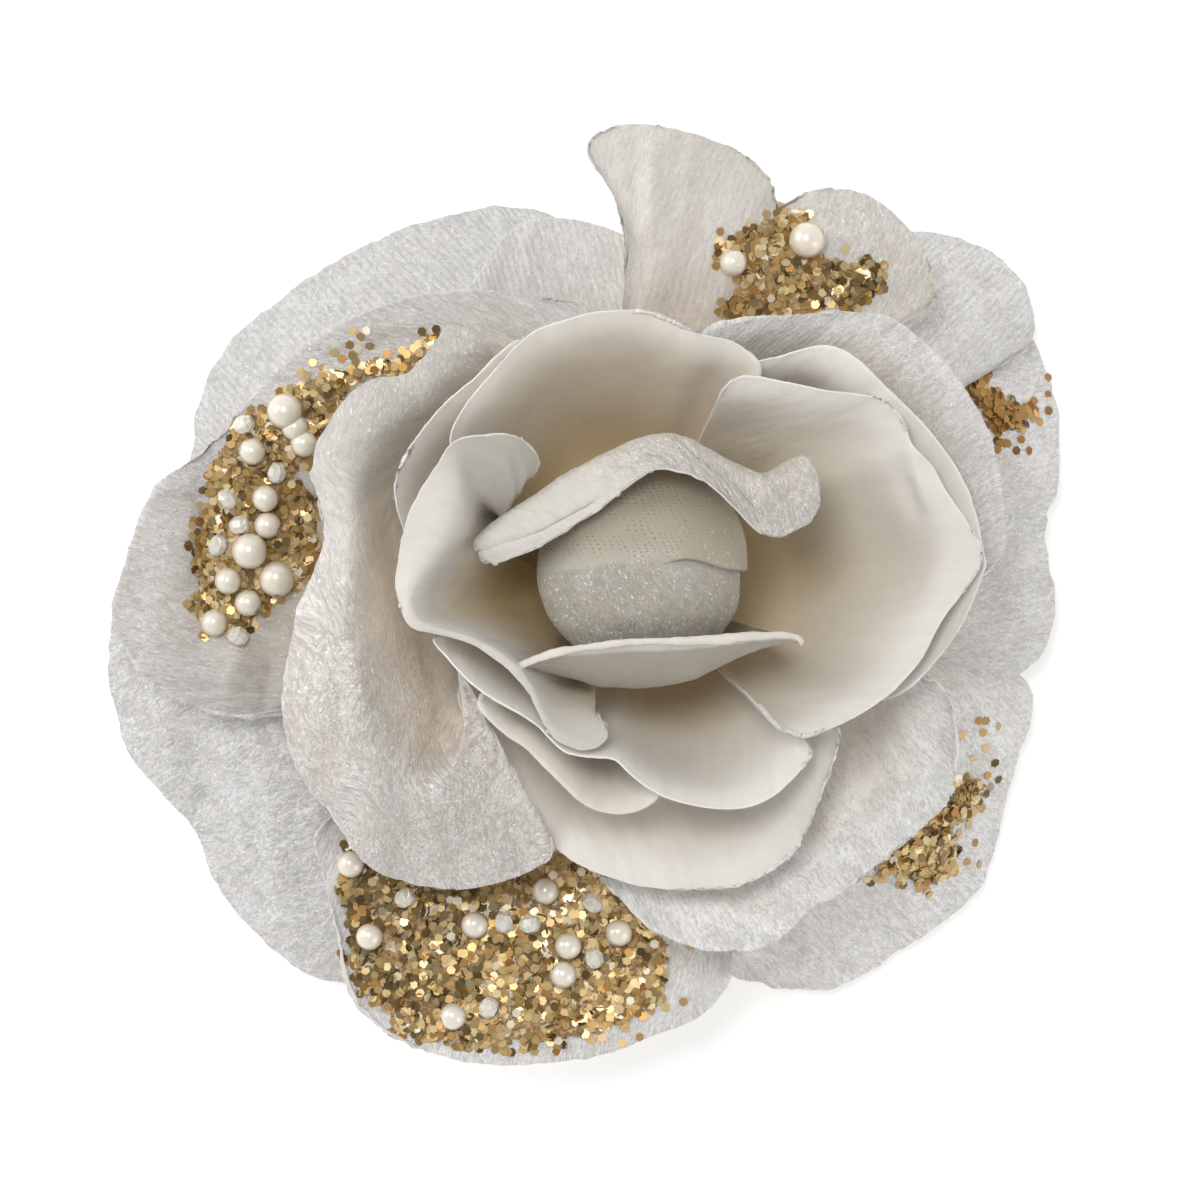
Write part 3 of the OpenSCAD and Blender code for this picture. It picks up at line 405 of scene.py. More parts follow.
def velvet(name, shade, light, painted_warm_shade, rib=1.0, glint=1.0):
    t = Tree(name)
    cloth, look = t.attr("cloth").outputs["Vector"], t.attr("look").outputs["Vector"]
    sep = t.node("SeparateXYZ", {0: look})
    spark, painted_warm_shade_mask, ribbing = sep.outputs[0], sep.outputs[1], sep.outputs[2]
    streak = t.noise(t.scaled(cloth, (2.3, 0.9, 1.0)), 1.0, 3.0, 0.66, 0.6)
    dash = t.noise(t.scaled(cloth, (5.2, 2.4, 1.0)), 1.0, 2.0, 0.65, 1.4)
    patch = t.noise(t.scaled(cloth, (0.26, 0.15, 1.0)), 1.0, 4.0, 0.62, 1.5)
    wave = t.node("TexWave", {"Vector": t.scaled(cloth, (1.0, 0.0, 0.0)), "Scale": 0.36, "Distortion": 0.0}, wave_type="BANDS", bands_direction="X").outputs[1]
    ribs = t.math("MULTIPLY", wave, t.math("MULTIPLY", ribbing, rib))
    n, dist, colour = glinting_normal(t, t.vec("ADD", cloth, t.vec("SCALE", t.node("TexNoise", {"Vector": cloth, "Scale": 0.8, "Detail": 2.0}).outputs["Color"], 1.2)), (4.2, 2.2, 1.0), 1.25)
    pick = t.node("SeparateColor", {0: colour}).outputs[0]
    many = t.math("SUBTRACT", 0.85, t.math("MULTIPLY", t.ramp(patch, 0.35, 0.65), 0.45))
    painted_glints = t.math("MULTIPLY", t.ramp(pick, many, 0.99), t.ramp(dist, 0.50, 0.15))
    mixed = t.math("ADD", t.math("MULTIPLY", t.ramp(streak, 0.36, 0.64), 0.36), t.math("ADD", t.math("MULTIPLY", t.ramp(patch, 0.36, 0.64), 0.20), t.math("MULTIPLY", t.ramp(dash, 0.38, 0.62), 0.44)))
    tone = t.math("ADD", 0.5, t.math("MULTIPLY", t.math("SUBTRACT", mixed, 0.5), t.math("ADD", 0.30, t.math("MULTIPLY", spark, 1.25))), clamp=True)
    tone = t.math("SUBTRACT", tone, t.math("MULTIPLY", ribs, 0.20), clamp=True)
    c = t.mix(tone, shade, light)
    c = t.mix(t.math("MULTIPLY", t.math("MULTIPLY", t.ramp(t.noise(t.scaled(cloth, (0.5, 0.22, 1.0)), 1.0, 3.0, 0.6, 1.0), 0.46, 0.66), spark), 0.42), c, t.mix(tone, (0.66, 0.56, 0.50), (0.90, 0.83, 0.78)))
    # painted shade, warmer in hue: the colour turns browner and dimmer where the mask is high, towards the heart of the
    # flower, in place of light bounced off other petals
    c = t.mix(t.math("MINIMUM", painted_warm_shade_mask, 1.0), c, t.mix(tone, tuple(x * 0.90 for x in painted_warm_shade), painted_warm_shade))
    # multiplied by the dye and its painted shade and light
    c = t.mix(1.0, c, t.attr("dye_and_shade").outputs["Vector"], "MULTIPLY")
    # painted glints: small bright spots mixed into the colour where the pile would catch the light
    c = t.mix(t.math("MULTIPLY", painted_glints, t.math("MULTIPLY", spark, 1.05 * glint), clamp=True), c, (1.0, 0.995, 0.985))
    height = t.math("ADD", t.math("MULTIPLY", t.math("ADD", streak, dash), t.math("ADD", t.math("MULTIPLY", spark, 0.7), 0.15)), t.math("ADD", t.math("MULTIPLY", ribs, -0.35), t.math("MULTIPLY", patch, 0.9)))
    b = t.bump(height, 0.00023, 1.0)
    rough = t.math("SUBTRACT", 0.86, t.math("MULTIPLY", t.math("MINIMUM", spark, 1.0), 0.25))
    t.principled(Base_Color=c, Roughness=rough, Specular_IOR_Level=0.35, Sheen_Weight=0.28, Sheen_Roughness=0.35, Sheen_Tint=(1.0, 0.99, 0.98),
                 Coat_Weight=0.20 * glint, Coat_Roughness=0.30, Coat_Normal=n, Normal=b)
    return t.m


def suede(name, shade, light, painted_warm_shade):
    """The smooth pressed face of a petal."""
    t = Tree(name)
    cloth, look = t.attr("cloth").outputs["Vector"], t.attr("look").outputs["Vector"]
    painted_warm_shade_mask = t.node("SeparateXYZ", {0: look}).outputs[1]
    soft_streak = t.noise(t.scaled(cloth, (0.55, 0.09, 1.0)), 1.0, 3.0, 0.55)
    grain = t.noise(t.scaled(cloth, (7.0, 7.0, 1.0)), 1.0, 2.0, 0.6)
    specks = t.node("TexVoronoi", {"Vector": t.scaled(cloth, (0.75, 0.75, 1.0)), "Scale": 1.0}).outputs["Distance"]
    tone = t.math("ADD", t.math("MULTIPLY", t.ramp(soft_streak, 0.3, 0.7), 0.5), t.math("MULTIPLY", t.ramp(grain, 0.3, 0.7), 0.5))
    c = t.mix(tone, shade, light)
    # painted shade, warmer in hue, towards the heart of the flower; where the mask passes 0.85 a still browner painted
    # shade for the deepest hollows
    c = t.mix(t.math("MINIMUM", painted_warm_shade_mask, 1.0), c, painted_warm_shade)
    c = t.mix(t.ramp(painted_warm_shade_mask, 0.85, 1.7), c, (painted_warm_shade[0] * 1.0, painted_warm_shade[1] * 0.91, painted_warm_shade[2] * 0.72))
    # multiplied by the dye and its painted shade and light
    c = t.mix(1.0, c, t.attr("dye_and_shade").outputs["Vector"], "MULTIPLY")
    c = t.mix(t.math("MULTIPLY", t.ramp(specks, 0.05, 0.03), 0.35), c, (0.55, 0.46, 0.36))
    height = t.math("ADD", t.math("MULTIPLY", grain, 0.5), t.math("MULTIPLY", soft_streak, 1.2))
    t.principled(Base_Color=c, Roughness=0.9, Specular_IOR_Level=0.2, Sheen_Weight=0.12, Sheen_Roughness=0.5, Normal=t.bump(height, 0.00013, 0.9))
    return t.m


def cut_edge(name):
    """The pale raw edge of the doubled velvet."""
    t = Tree(name)
    cloth = t.attr("cloth").outputs["Vector"]
    f = t.noise(t.scaled(cloth, (6.0, 6.0, 1.0)), 1.0, 3.0, 0.6)
    # the raw edge takes the petal's dye and its painted shade and light
    c = t.mix(1.0, t.mix(f, (0.68, 0.655, 0.62), (0.84, 0.825, 0.80)), t.attr("dye_and_shade").outputs["Vector"], "MULTIPLY")
    t.principled(Base_Color=c, Roughness=0.85, Specular_IOR_Level=0.2, Sheen_Weight=0.15, Sheen_Roughness=0.4, Normal=t.bump(f, 0.00004, 0.7))
    return t.m


def loose_fibre(name):
    t = Tree(name)
    f = t.noise(t.scaled(t.attr("cloth").outputs["Vector"], (0.4, 0.4, 0.4)), 1.0, 2.0, 0.5)
    t.principled(Base_Color=t.mix(f, (0.74, 0.72, 0.69), (0.86, 0.85, 0.83)), Roughness=0.7, Sheen_Weight=0.3)
    return t.m


def knit(name):
    """The fine knitted back of the velvet, stretched over the bud."""
    t = Tree(name)
    cloth, look = t.attr("cloth").outputs["Vector"], t.attr("look").outputs["Vector"]
    sep = t.node("SeparateXYZ", {0: look})
    spark, painted_warm_shade_mask, pits = sep.outputs[0], sep.outputs[1], sep.outputs[2]
    wander = t.node("TexNoise", {"Vector": cloth, "Scale": 0.5, "Detail": 3.0}).outputs["Color"]
    s = t.node("SeparateXYZ", {0: t.vec("ADD", cloth, t.vec("SCALE", wander, 1.1))})
    a = t.math("SINE", t.math("MULTIPLY", s.outputs[0], 2 * math.pi / 0.72))
    b = t.math("SINE", t.math("ADD", t.math("MULTIPLY", s.outputs[1], 2 * math.pi / 0.42), t.math("MULTIPLY", t.math("SIGN", a), 0.8)))
    stitch = t.math("MULTIPLY", t.math("ADD", t.math("MULTIPLY", a, 0.5), 0.5), t.math("ADD", t.math("MULTIPLY", b, 0.5), 0.5))
    mottle = t.noise(t.scaled(cloth, (0.5, 0.5, 1.0)), 1.0, 4.0, 0.6)
    painted_deep_shade = t.math("MULTIPLY", t.ramp(stitch, 0.45, 0.95), t.math("MULTIPLY", pits, t.ramp(mottle, 0.40, 0.60)))
    n, dist, colour = glinting_normal(t, cloth, (5.0, 3.0, 1.0), 0.9)
    pick = t.node("SeparateColor", {0: colour}).outputs[0]
    painted_glints = t.math("MULTIPLY", t.math("MULTIPLY", t.ramp(pick, 0.60, 0.95), t.ramp(mottle, 0.42, 0.62)), t.ramp(dist, 0.50, 0.10))
    grain = t.noise(t.scaled(cloth, (6.0, 4.0, 1.0)), 1.0, 2.0, 0.6)
    c = t.mix(t.math("ADD", t.math("MULTIPLY", mottle, 0.6), t.math("MULTIPLY", grain, 0.4)), (0.66, 0.60, 0.51), (0.76, 0.71, 0.63))
    # painted shade in the knit's pits, browner and dimmer where the stitches leave holes
    c = t.mix(painted_deep_shade, c, (0.44, 0.36, 0.26))
    # multiplied by the dye and its painted shade and light
    c = t.mix(1.0, c, t.attr("dye_and_shade").outputs["Vector"], "MULTIPLY")
    # painted glints: small bright spots mixed into the knit's colour where it would catch the light
    c = t.mix(t.math("MULTIPLY", painted_glints, spark), c, (0.95, 0.93, 0.88))
    height = t.math("ADD", t.math("MULTIPLY", stitch, -0.6), t.math("MULTIPLY", grain, 0.5))
    t.principled(Base_Color=c, Roughness=0.8, Specular_IOR_Level=0.3, Sheen_Weight=0.25, Sheen_Roughness=0.4, Coat_Weight=0.12, Coat_Roughness=0.35, Coat_Normal=n,
                 Normal=t.bump(height, 0.00007, 0.8))
    return t.m


def spot(t):
    """A shared position input, in millimetres."""
    return t.vec("SCALE", t.node("TexCoord").outputs["Object"], 1000.0)


def gold_flakes(name="gold_glitter_flakes", dye=(1, 1, 1)):
    t = Tree(name)
    r = t.node("NewGeometry").outputs["Random Per Island"]
    ramp = t.node("ValToRGB", {0: r})
    ramp.color_ramp.interpolation = "CONSTANT"
    # the stops are partly the gold's own colour and partly painted reflection: the lowest stops paint flakes that
    # mirror dark surroundings, the top one a painted white flash of a lamp
    stops = [(k[0], tuple(min(1.0, x * y) for x, y in zip(k[1], dye))) for k in [
        (0.0, (0.10, 0.072, 0.030)), (0.05, (0.22, 0.165, 0.080)), (0.12, (0.40, 0.215, 0.060)), (0.22, (0.50, 0.345, 0.150)),
        (0.38, (0.54, 0.395, 0.195)), (0.62, (0.66, 0.515, 0.285)), (0.84, (0.80, 0.67, 0.43)), (0.955, (1.0, 0.96, 0.86))]]
    e = ramp.color_ramp.elements
    while len(e) < len(stops):
        e.new(0.5)
    for k, (p, c) in enumerate(stops):
        e[k].position, e[k].color = p, (*c, 1)
    f = t.noise(spot(t), 9.0, 2.0, 0.5)
    c = t.mix(t.math("MULTIPLY", f, 0.30), ramp.outputs[0], (0.30, 0.18, 0.06))
    rough = t.math("ADD", t.math("MULTIPLY", t.math("FRACT", t.math("MULTIPLY", r, 17.0)), 0.25), 0.24)
    t.principled(Base_Color=c, Metallic=0.62, Roughness=rough, Coat_Weight=0.08, Coat_Roughness=0.10, Normal=t.bump(f, 0.00002, 0.5))
    return t.m


def amber_glue():
    t = Tree("amber_glue")
    f = t.noise(spot(t), 1.6, 4.0, 0.6)
    g = t.noise(spot(t), 6.0, 2.0, 0.6)
    c = t.mix(t.ramp(f, 0.35, 0.68), (0.20, 0.105, 0.030), (0.62, 0.40, 0.15))
    t.principled(Base_Color=c, Roughness=t.math("ADD", 0.12, t.math("MULTIPLY", g, 0.25)), Coat_Weight=0.6, Coat_Roughness=0.08, Normal=t.bump(t.math("ADD", f, t.math("MULTIPLY", g, 0.3)), 0.00025, 0.9))
    return t.m


def pearl():
    t = Tree("pearl_lustre")
    edge = t.node("LayerWeight", {"Blend": 0.35}).outputs["Facing"]
    cloud = t.noise(spot(t), 0.9, 3.0, 0.55)
    c = t.mix(cloud, (0.86, 0.79, 0.665), (0.93, 0.88, 0.78))
    # painted reflection: the rim turns darker amber by viewing angle, for the gold flakes a pearl would mirror
    c = t.mix(t.math("MULTIPLY", edge, 0.90), c, (0.46, 0.34, 0.20))
    # painted shade inside the drilled bore
    c = t.mix(t.math("MULTIPLY", t.ramp(t.attr("hole").outputs["Fac"], 0.2, 0.8), 0.7), c, (0.30, 0.22, 0.14))
    t.principled(Base_Color=c, Roughness=0.26, Metallic=0.14, Specular_IOR_Level=0.6, Coat_Weight=0.85, Coat_Roughness=0.05, Normal=t.bump(cloud, 0.00003, 0.4))
    return t.m


def bead_glass():
    t = Tree("cut_glass")
    f = t.noise(spot(t), 1.5, 2.0, 0.5)
    t.principled(Base_Color=t.mix(t.ramp(f, 0.4, 0.6), (0.94, 0.87, 0.72), (1.0, 0.98, 0.93)), Roughness=t.math("ADD", 0.04, t.math("MULTIPLY", f, 0.06)), IOR=1.45, Transmission_Weight=0.30,
                 Coat_Weight=0.8, Coat_Roughness=0.03)
    return t.m


def felt():
    t = Tree("white_felt")
    p = spot(t)
    a = t.noise(p, 1.1, 5.0, 0.65, 1.5)
    b = t.noise(t.scaled(p, (1.0, 1.0, 3.0)), 6.0, 3.0, 0.6, 2.0)
    c = t.mix(t.math("ADD", t.math("MULTIPLY", a, 0.5), t.math("MULTIPLY", b, 0.5)), (0.70, 0.68, 0.64), (0.88, 0.87, 0.84))
    t.principled(Base_Color=c, Roughness=0.95, Specular_IOR_Level=0.15, Sheen_Weight=0.35, Sheen_Roughness=0.5, Normal=t.bump(t.math("ADD", a, b), 0.00018, 0.9))
    return t.m


def hot_glue():
    t = Tree("hot_melt_glue")
    p = spot(t)
    f = t.noise(p, 0.35, 4.0, 0.55, 0.6)
    c = t.mix(t.ramp(f, 0.3, 0.7), (0.72, 0.66, 0.52), (0.86, 0.83, 0.74))
    t.principled(Base_Color=c, Roughness=t.math("ADD", 0.26, t.math("MULTIPLY", f, 0.25)), Subsurface_Weight=0.35, Subsurface_Radius=(1.0, 0.8, 0.5), Subsurface_Scale=0.0015, Coat_Weight=0.25, Coat_Roughness=0.2,
                 Normal=t.bump(f, 0.0004, 0.8))
    return t.m


def nickel(name, base, grain, rough):
    t = Tree(name)
    p = spot(t)
    brushed = t.noise(t.scaled(p, grain), 1.0, 3.0, 0.6)
    wear = t.noise(p, 0.5, 5.0, 0.6, 0.4)
    c = t.mix(t.ramp(wear, 0.45, 0.75), base, tuple(x * 0.94 for x in base))
    r = t.math("ADD", rough, t.math("ADD", t.math("MULTIPLY", brushed, 0.14), t.math("MULTIPLY", t.ramp(wear, 0.5, 0.8), 0.05)))
    t.principled(Base_Color=c, Metallic=1.0, Roughness=r, Normal=t.bump(brushed, 0.000015, 0.6))
    return t.m


def wadding():
    t = Tree("wadding")
    f = t.noise(spot(t), 1.4, 5.0, 0.65, 0.8)
    t.principled(Base_Color=t.mix(f, (0.78, 0.75, 0.70), (0.92, 0.91, 0.88)), Roughness=0.95, Specular_IOR_Level=0.1, Sheen_Weight=0.3, Normal=t.bump(f, 0.0003, 0.8))
    return t.m


def studio_floor():
    t = Tree("pale_floor")
    f = t.noise(t.node("TexCoord").outputs["Object"], 3.0, 2.0, 0.5)
    t.principled(Base_Color=t.mix(f, (0.955, 0.955, 0.955), (0.97, 0.97, 0.97)), Roughness=0.9, Specular_IOR_Level=0.1, Emission_Color=(1.0, 1.0, 1.0), Emission_Strength=0.30)
    return t.m


# SHADE and LIGHT are the pile's two tones; the third colour is the painted shade, warmer in hue, laid towards the heart
# of the flower
SHADE, LIGHT, PAINTED_WARM_SHADE = (0.592, 0.576, 0.554), (0.945, 0.940, 0.930), (0.76, 0.68, 0.57)
M = {
    "velvet": velvet("ivory_velvet", SHADE, LIGHT, PAINTED_WARM_SHADE),
    "velvet_back": velvet("ivory_velvet_back", (0.58, 0.565, 0.54), (0.84, 0.825, 0.80), PAINTED_WARM_SHADE, 0.4, 1.0),
    "suede": suede("matte_cream", (0.690, 0.658, 0.612), (0.768, 0.740, 0.698), (0.70, 0.62, 0.50)),
    "edge": cut_edge("cut_edge"),
    "knit": knit("knitted_back"),
    "fibre": loose_fibre("loose_fibre"),
}

# ---------------------------------------------------------------- petals
# rolled: radius in mm and angle of the rim's curl towards the back; curl: height of its slow waves; crush: depth of the
# creases pressed into the pile; spark, painted_warm_shade and ribs say where the pile glints (partly as painted glints
# in its colour), where it takes a painted shade, warmer in hue, and where the knit shows.
# dye_and_shade is partly a dye, darker towards the flower's heart, and partly painted shade and light on each petal;
# corner is the radius of the cut's corners; wave is the height of its broad swells; folds are ridges (+) and valleys
# (-) from one grid point to another, with a width and a height in mm.
def spec(P, front, back, rolled=(0.35, 40), curl=0.25, crush=0.16, thick=0.66, spark=None, painted_warm_shade=None, ribs=None, cell=0.5, seed=1, dye_and_shade=(1, 1, 1), corner=2.2, wave=0.3, folds=(), swell=0.0, laid=None):
    return dict(laid=laid, P=P, front=front, back=back, rolled=rolled, curl=curl, crush=crush, thick=thick, spark=spark, painted_warm_shade=painted_warm_shade, ribs=ribs, cell=cell, seed=seed, dye_and_shade=dye_and_shade,
                corner=corner, wave=wave, folds=folds, swell=swell)


def const(x):
    return lambda u, v, p: np.full(v.shape, float(x))


def painted_deep_shade(lo, hi, k=1.0, base=0.0):
    """Painted shade, warmer in hue, towards the root, where light only comes off other petals: the colour turns browner
    and dimmer there.
    """
    return lambda u, v, p: base + k * (1 - soft(lo, hi, v)) + 0.9 * (1 - soft(0.18, 0.5, v))


def dye_with_painted_shade(colour, *steps, lip=None):
    """A colour, partly a dye and partly painted shade and light, multiplied by a factor where each step's function of u
    and v is 1: below 1 as painted shade, above 1 as painted light; the turned lip can have its own, a painted
    highlight.
    """
    def f(u, v):
        c = np.broadcast_to(np.array(colour, float), v.shape + (3,)).copy()
        for where, factor in steps:
            w = where(u, v)[..., None]
            c = c * (1 - w + w * np.array(factor, float))
        if lip:
            w = soft(0.985, 0.9995, v)[..., None]
            c = c * (1 - w) + w * np.array(lip, float)
        return c
    return f


# each petal's dye_and_shade is partly a dye and partly painted shade and light: darker for parts that lie in shade, in
# hollows or under other petals, lighter for hollows and slopes that would render too dim; the lip factors paint a
# highlight along the turned rim
PETALS = {
    "bud_petal_top": spec(BUD_TOP, "suede", "velvet_back", (0.1, 40), 0.10, 0.13, spark=lambda u, v, p: 1.15 - 1.1 * soft(0.72, 0.80, v) * soft(0.52, 0.68, u), painted_warm_shade=painted_deep_shade(0.6, 1.0, 0.3, 0.05), seed=3, dye_and_shade=dye_with_painted_shade((0.90, 0.88, 0.84), (lambda u, v: soft(0.72, 0.80, v) * soft(0.52, 0.68, u), (0.98, 0.985, 0.985))), corner=0.8, wave=0.1, cell=0.3,
                          folds=(((478, 553), (545, 530), 0.35, 0.45), ((545, 530), (600, 500), 0.35, 0.35), ((572, 500), (650, 455), 0.8, 0.35), ((700, 462), (770, 520), 0.8, 0.45), ((760, 500), (790, 480), 0.7, -0.5))),
    "bud_petal_bottom": spec(BUD_BOTTOM, "suede", "suede", (0.42, 150), 0.10, 0.10, spark=const(0.3), painted_warm_shade=painted_deep_shade(0.6, 1.0, 0.5, 0.1), seed=4, dye_and_shade=dye_with_painted_shade((0.53, 0.51, 0.465), (lambda u, v: soft(0.925, 0.945, v), (1.55, 1.58, 1.65)), lip=(1.0, 0.985, 0.96)), corner=0.8, wave=0.1, cell=0.3, swell=0.7),
    "heart_petal_left": spec(HEART_LEFT, "suede", "velvet_back", (0.12, 40), 0.12, 0.12, spark=const(1.0), painted_warm_shade=painted_deep_shade(0.25, 0.72, 0.9), seed=5, dye_and_shade=dye_with_painted_shade((0.93, 0.925, 0.91), (lambda u, v: soft(0.30, 0.17, u), (0.68, 0.665, 0.635)), (lambda u, v: soft(0.62, 0.48, v) * soft(0.2, 0.3, u), (1.24, 1.20, 1.08)), (lambda u, v: soft(0.56, 0.66, v) * soft(0.92, 0.8, v) * soft(0.2, 0.3, u), (0.94, 0.93, 0.90)), (lambda u, v: soft(0.7, 0.85, u), (0.92, 0.92, 0.92)), lip=(1.0, 0.99, 0.97)), corner=1.0, wave=0.1, cell=0.4),
    "heart_petal_right": spec(HEART_RIGHT, "suede", "velvet_back", (0.12, 40), 0.25, 0.06, spark=const(0.8), painted_warm_shade=painted_deep_shade(0.35, 0.9, 0.8), seed=6, dye_and_shade=dye_with_painted_shade((1.03, 1.03, 1.025), lip=(1.1, 1.09, 1.07)), wave=0.35,
                              folds=(((905, 440), (925, 500), 1.0, 0.8), ((895, 470), (915, 520), 1.1, -0.7), ((950, 520), (925, 600), 1.6, 0.5))),
    "heart_petal_bottom": spec(HEART_BOTTOM, "suede", "velvet_back", (0.12, 40), 0.22, 0.06, spark=const(1.0), painted_warm_shade=painted_deep_shade(0.25, 0.8, 0.7), seed=7, dye_and_shade=dye_with_painted_shade((1.08, 1.085, 1.08), lip=(1.15, 1.14, 1.12)), corner=1.2),
    "cup_petal_top": spec(CUP_TOP, "suede", "velvet", (0.2, 50), 0.2, 0.10, spark=const(0.8), painted_warm_shade=painted_deep_shade(0.45, 0.95, 0.85, 0.05), seed=8, dye_and_shade=(1.04, 1.03, 1.0)),
    "cup_petal_roll": spec(CUP_ROLL, "suede", "velvet", (0.3, 70), 0.15, 0.10, spark=const(0.6), painted_warm_shade=painted_deep_shade(0.4, 0.95, 0.5), seed=9, dye_and_shade=(1.03, 1.02, 0.99), corner=1.4),
    "cup_petal_right": spec(CUP_RIGHT, "suede", "velvet", (0.15, 50), 0.3, 0.10, spark=const(0.8), painted_warm_shade=painted_deep_shade(0.4, 0.95, 0.6), seed=10, dye_and_shade=(1.10, 1.10, 1.09), corner=1.4),
    "cup_petal_left": spec(CUP_LEFT, "suede", "velvet", (0.15, 50), 0.2, 0.10, spark=const(0.7), painted_warm_shade=painted_deep_shade(0.4, 0.95, 0.6), seed=11, dye_and_shade=(1.02, 1.0, 0.97), corner=1.4),
    "cup_petal_edge": spec(CUP_EDGE, "suede", "velvet", (0.15, 50), 0.15, 0.08, spark=const(0.6), painted_warm_shade=painted_deep_shade(0.4, 0.95, 0.5), seed=12, dye_and_shade=(1.05, 1.05, 1.04), corner=1.0),
    "cup_petal_bottom": spec(CUP_BOTTOM, "suede", "velvet", (0.2, 40), 0.35, 0.12, spark=const(0.5), painted_warm_shade=painted_deep_shade(0.35, 0.85, 0.5), seed=13, dye_and_shade=(1.05, 1.045, 1.035), wave=0.5),
    "velvet_petal_left": spec(VELVET_LEFT, "velvet", "suede", (0.3, 40), 0.25, 0.22, spark=lambda u, v, p: np.clip(0.14 + (0.40 + 0.55 * soft(0.36, 0.50, u)) * soft(0.60, 0.80, v) + 0.95 * soft(0.46, 0.62, u) * soft(0.30, 0.55, v), 0, 1.2),
                              painted_warm_shade=lambda u, v, p: np.clip(1.0 - soft(0.60, 0.80, v) - 0.62 * soft(0.44, 0.66, u), 0.06, 1) * 0.85 + 0.03, ribs=const(0.15), laid=12, seed=14, dye_and_shade=dye_with_painted_shade((0.92, 0.905, 0.885), (lambda u, v: soft(0.42, 0.25, u), (0.78, 0.77, 0.745)), (lambda u, v: soft(0.3, 0.45, u), (0.97, 0.955, 0.94)), (lambda u, v: soft(0.66, 0.52, v) * soft(0.38, 0.5, u), (1.14, 1.12, 1.08)),
                                (lambda u, v: soft(0.60, 0.70, v) * soft(0.95, 0.82, v) * soft(0.7, 0.55, u), (0.93, 0.93, 0.925))), wave=0.4,
                              folds=(((372, 520), (395, 700), 1.7, 0.7), ((420, 610), (445, 720), 1.2, -0.5), ((395, 740), (440, 840), 1.3, 0.6), ((350, 620), (335, 760), 1.5, -0.6))),
    "velvet_petal_right": spec(VELVET_RIGHT, "velvet", "suede", (0.3, 50), 0.25, 0.20, spark=const(0.75), painted_warm_shade=painted_deep_shade(0.5, 0.95, 0.6, 0.06), ribs=const(0.5), seed=15, dye_and_shade=dye_with_painted_shade((0.95, 0.945, 0.94), (lambda u, v: soft(0.85, 0.6, v), (1.1, 1.1, 1.1))), wave=0.4),
    "velvet_petal_bottom": spec(VELVET_BOTTOM, "velvet", "suede", (0.3, 45), 0.35, 0.24, spark=const(0.9), painted_warm_shade=painted_deep_shade(0.4, 0.8, 0.5, 0.04), ribs=const(0.4), seed=16, dye_and_shade=dye_with_painted_shade((1.05, 1.05, 1.045), (lambda u, v: soft(0.95, 0.6, v), (1.35, 1.35, 1.35))), wave=0.6,
                                folds=(((700, 905), (790, 920), 1.2, 0.6), ((850, 740), (880, 840), 1.6, -0.6), ((820, 800), (840, 880), 1.5, 0.6))),
    "glitter_petal_top": spec(GLITTER_TOP, "velvet", "suede", (0.15, 40), 0.2, 0.20, spark=lambda u, v, p: np.clip(0.35 + 0.6 * soft(0.78, 0.95, u) + 0.4 * soft(0.45, 0.2, u), 0, 1), painted_warm_shade=painted_deep_shade(0.3, 0.8, 0.35, 0.22), ribs=const(0.35), seed=17,
                              dye_and_shade=(0.90, 0.878, 0.86), wave=0.3, corner=0.8, folds=(((652, 128), (650, 235), 0.9, 0.7), ((632, 150), (634, 222), 0.9, -0.7), ((720, 170), (700, 260), 2.0, -0.5))),
    "glitter_petal_left": spec(GLITTER_LEFT, "velvet", "suede", (0.3, 45), 0.35, 0.26, spark=const(0.75), painted_warm_shade=painted_deep_shade(0.4, 0.95, 0.6, 0.10), ribs=const(0.3), seed=18, dye_and_shade=(0.88, 0.87, 0.86), wave=0.7,
                               folds=(((205, 480), (200, 640), 1.6, -1.2), ((240, 640), (225, 700), 1.6, 0.9), ((170, 540), (150, 640), 1.8, 0.5), ((460, 320), (330, 360), 1.2, -0.6), ((270, 660), (262, 715), 1.0, -0.7))),
    "glitter_petal_bottom": spec(GLITTER_BOTTOM, "velvet", "suede", (0.3, 45), 0.30, 0.20, spark=const(0.8), painted_warm_shade=painted_deep_shade(0.4, 0.9, 0.5, 0.05), ribs=const(0.5), seed=19, dye_and_shade=(0.97, 0.965, 0.96), wave=0.6),
    "small_petal_top": spec(SMALL_TOP, "velvet", "suede", (0.2, 40), 0.15, 0.16, spark=const(0.5), painted_warm_shade=const(0.0), ribs=const(0.9), seed=20, dye_and_shade=(0.95, 0.95, 0.95)),
    "outer_petal_back": spec(OUTER_BACK, "velvet", "suede", (0.0, 0), 0.2, 0.24, spark=const(0.8), painted_warm_shade=const(0.0), ribs=const(0.9), seed=21, dye_and_shade=(1.0, 1.0, 1.0), wave=0.5,
                             folds=(((960, 240), (940, 300), 1.2, 0.8), ((1000, 262), (985, 320), 1.2, -0.7))),
    "outer_petal_right": spec(OUTER_RIGHT, "velvet", "suede", (0.0, 0), 0.25, 0.28, spark=const(0.85), painted_warm_shade=painted_deep_shade(0.4, 0.9, 0.4, 0.03), ribs=const(0.5), seed=22, dye_and_shade=(1.0, 1.0, 0.995), wave=0.6,
                              folds=(((1008, 500), (1050, 540), 1.4, -1.0), ((1010, 590), (1050, 610), 1.3, 0.7), ((1030, 430), (1045, 500), 1.2, 0.6))),
    "outer_petal_lower_right": spec(OUTER_LOWER_RIGHT, "velvet", "suede", (0.0, 0), 0.25, 0.28, spark=const(0.9), painted_warm_shade=painted_deep_shade(0.4, 0.9, 0.3, 0.02), ribs=const(0.5), seed=23, dye_and_shade=dye_with_painted_shade((1.08, 1.075, 1.07), (lambda u, v: soft(0.72, 0.5, v), (0.90, 0.88, 0.86))), wave=0.6,
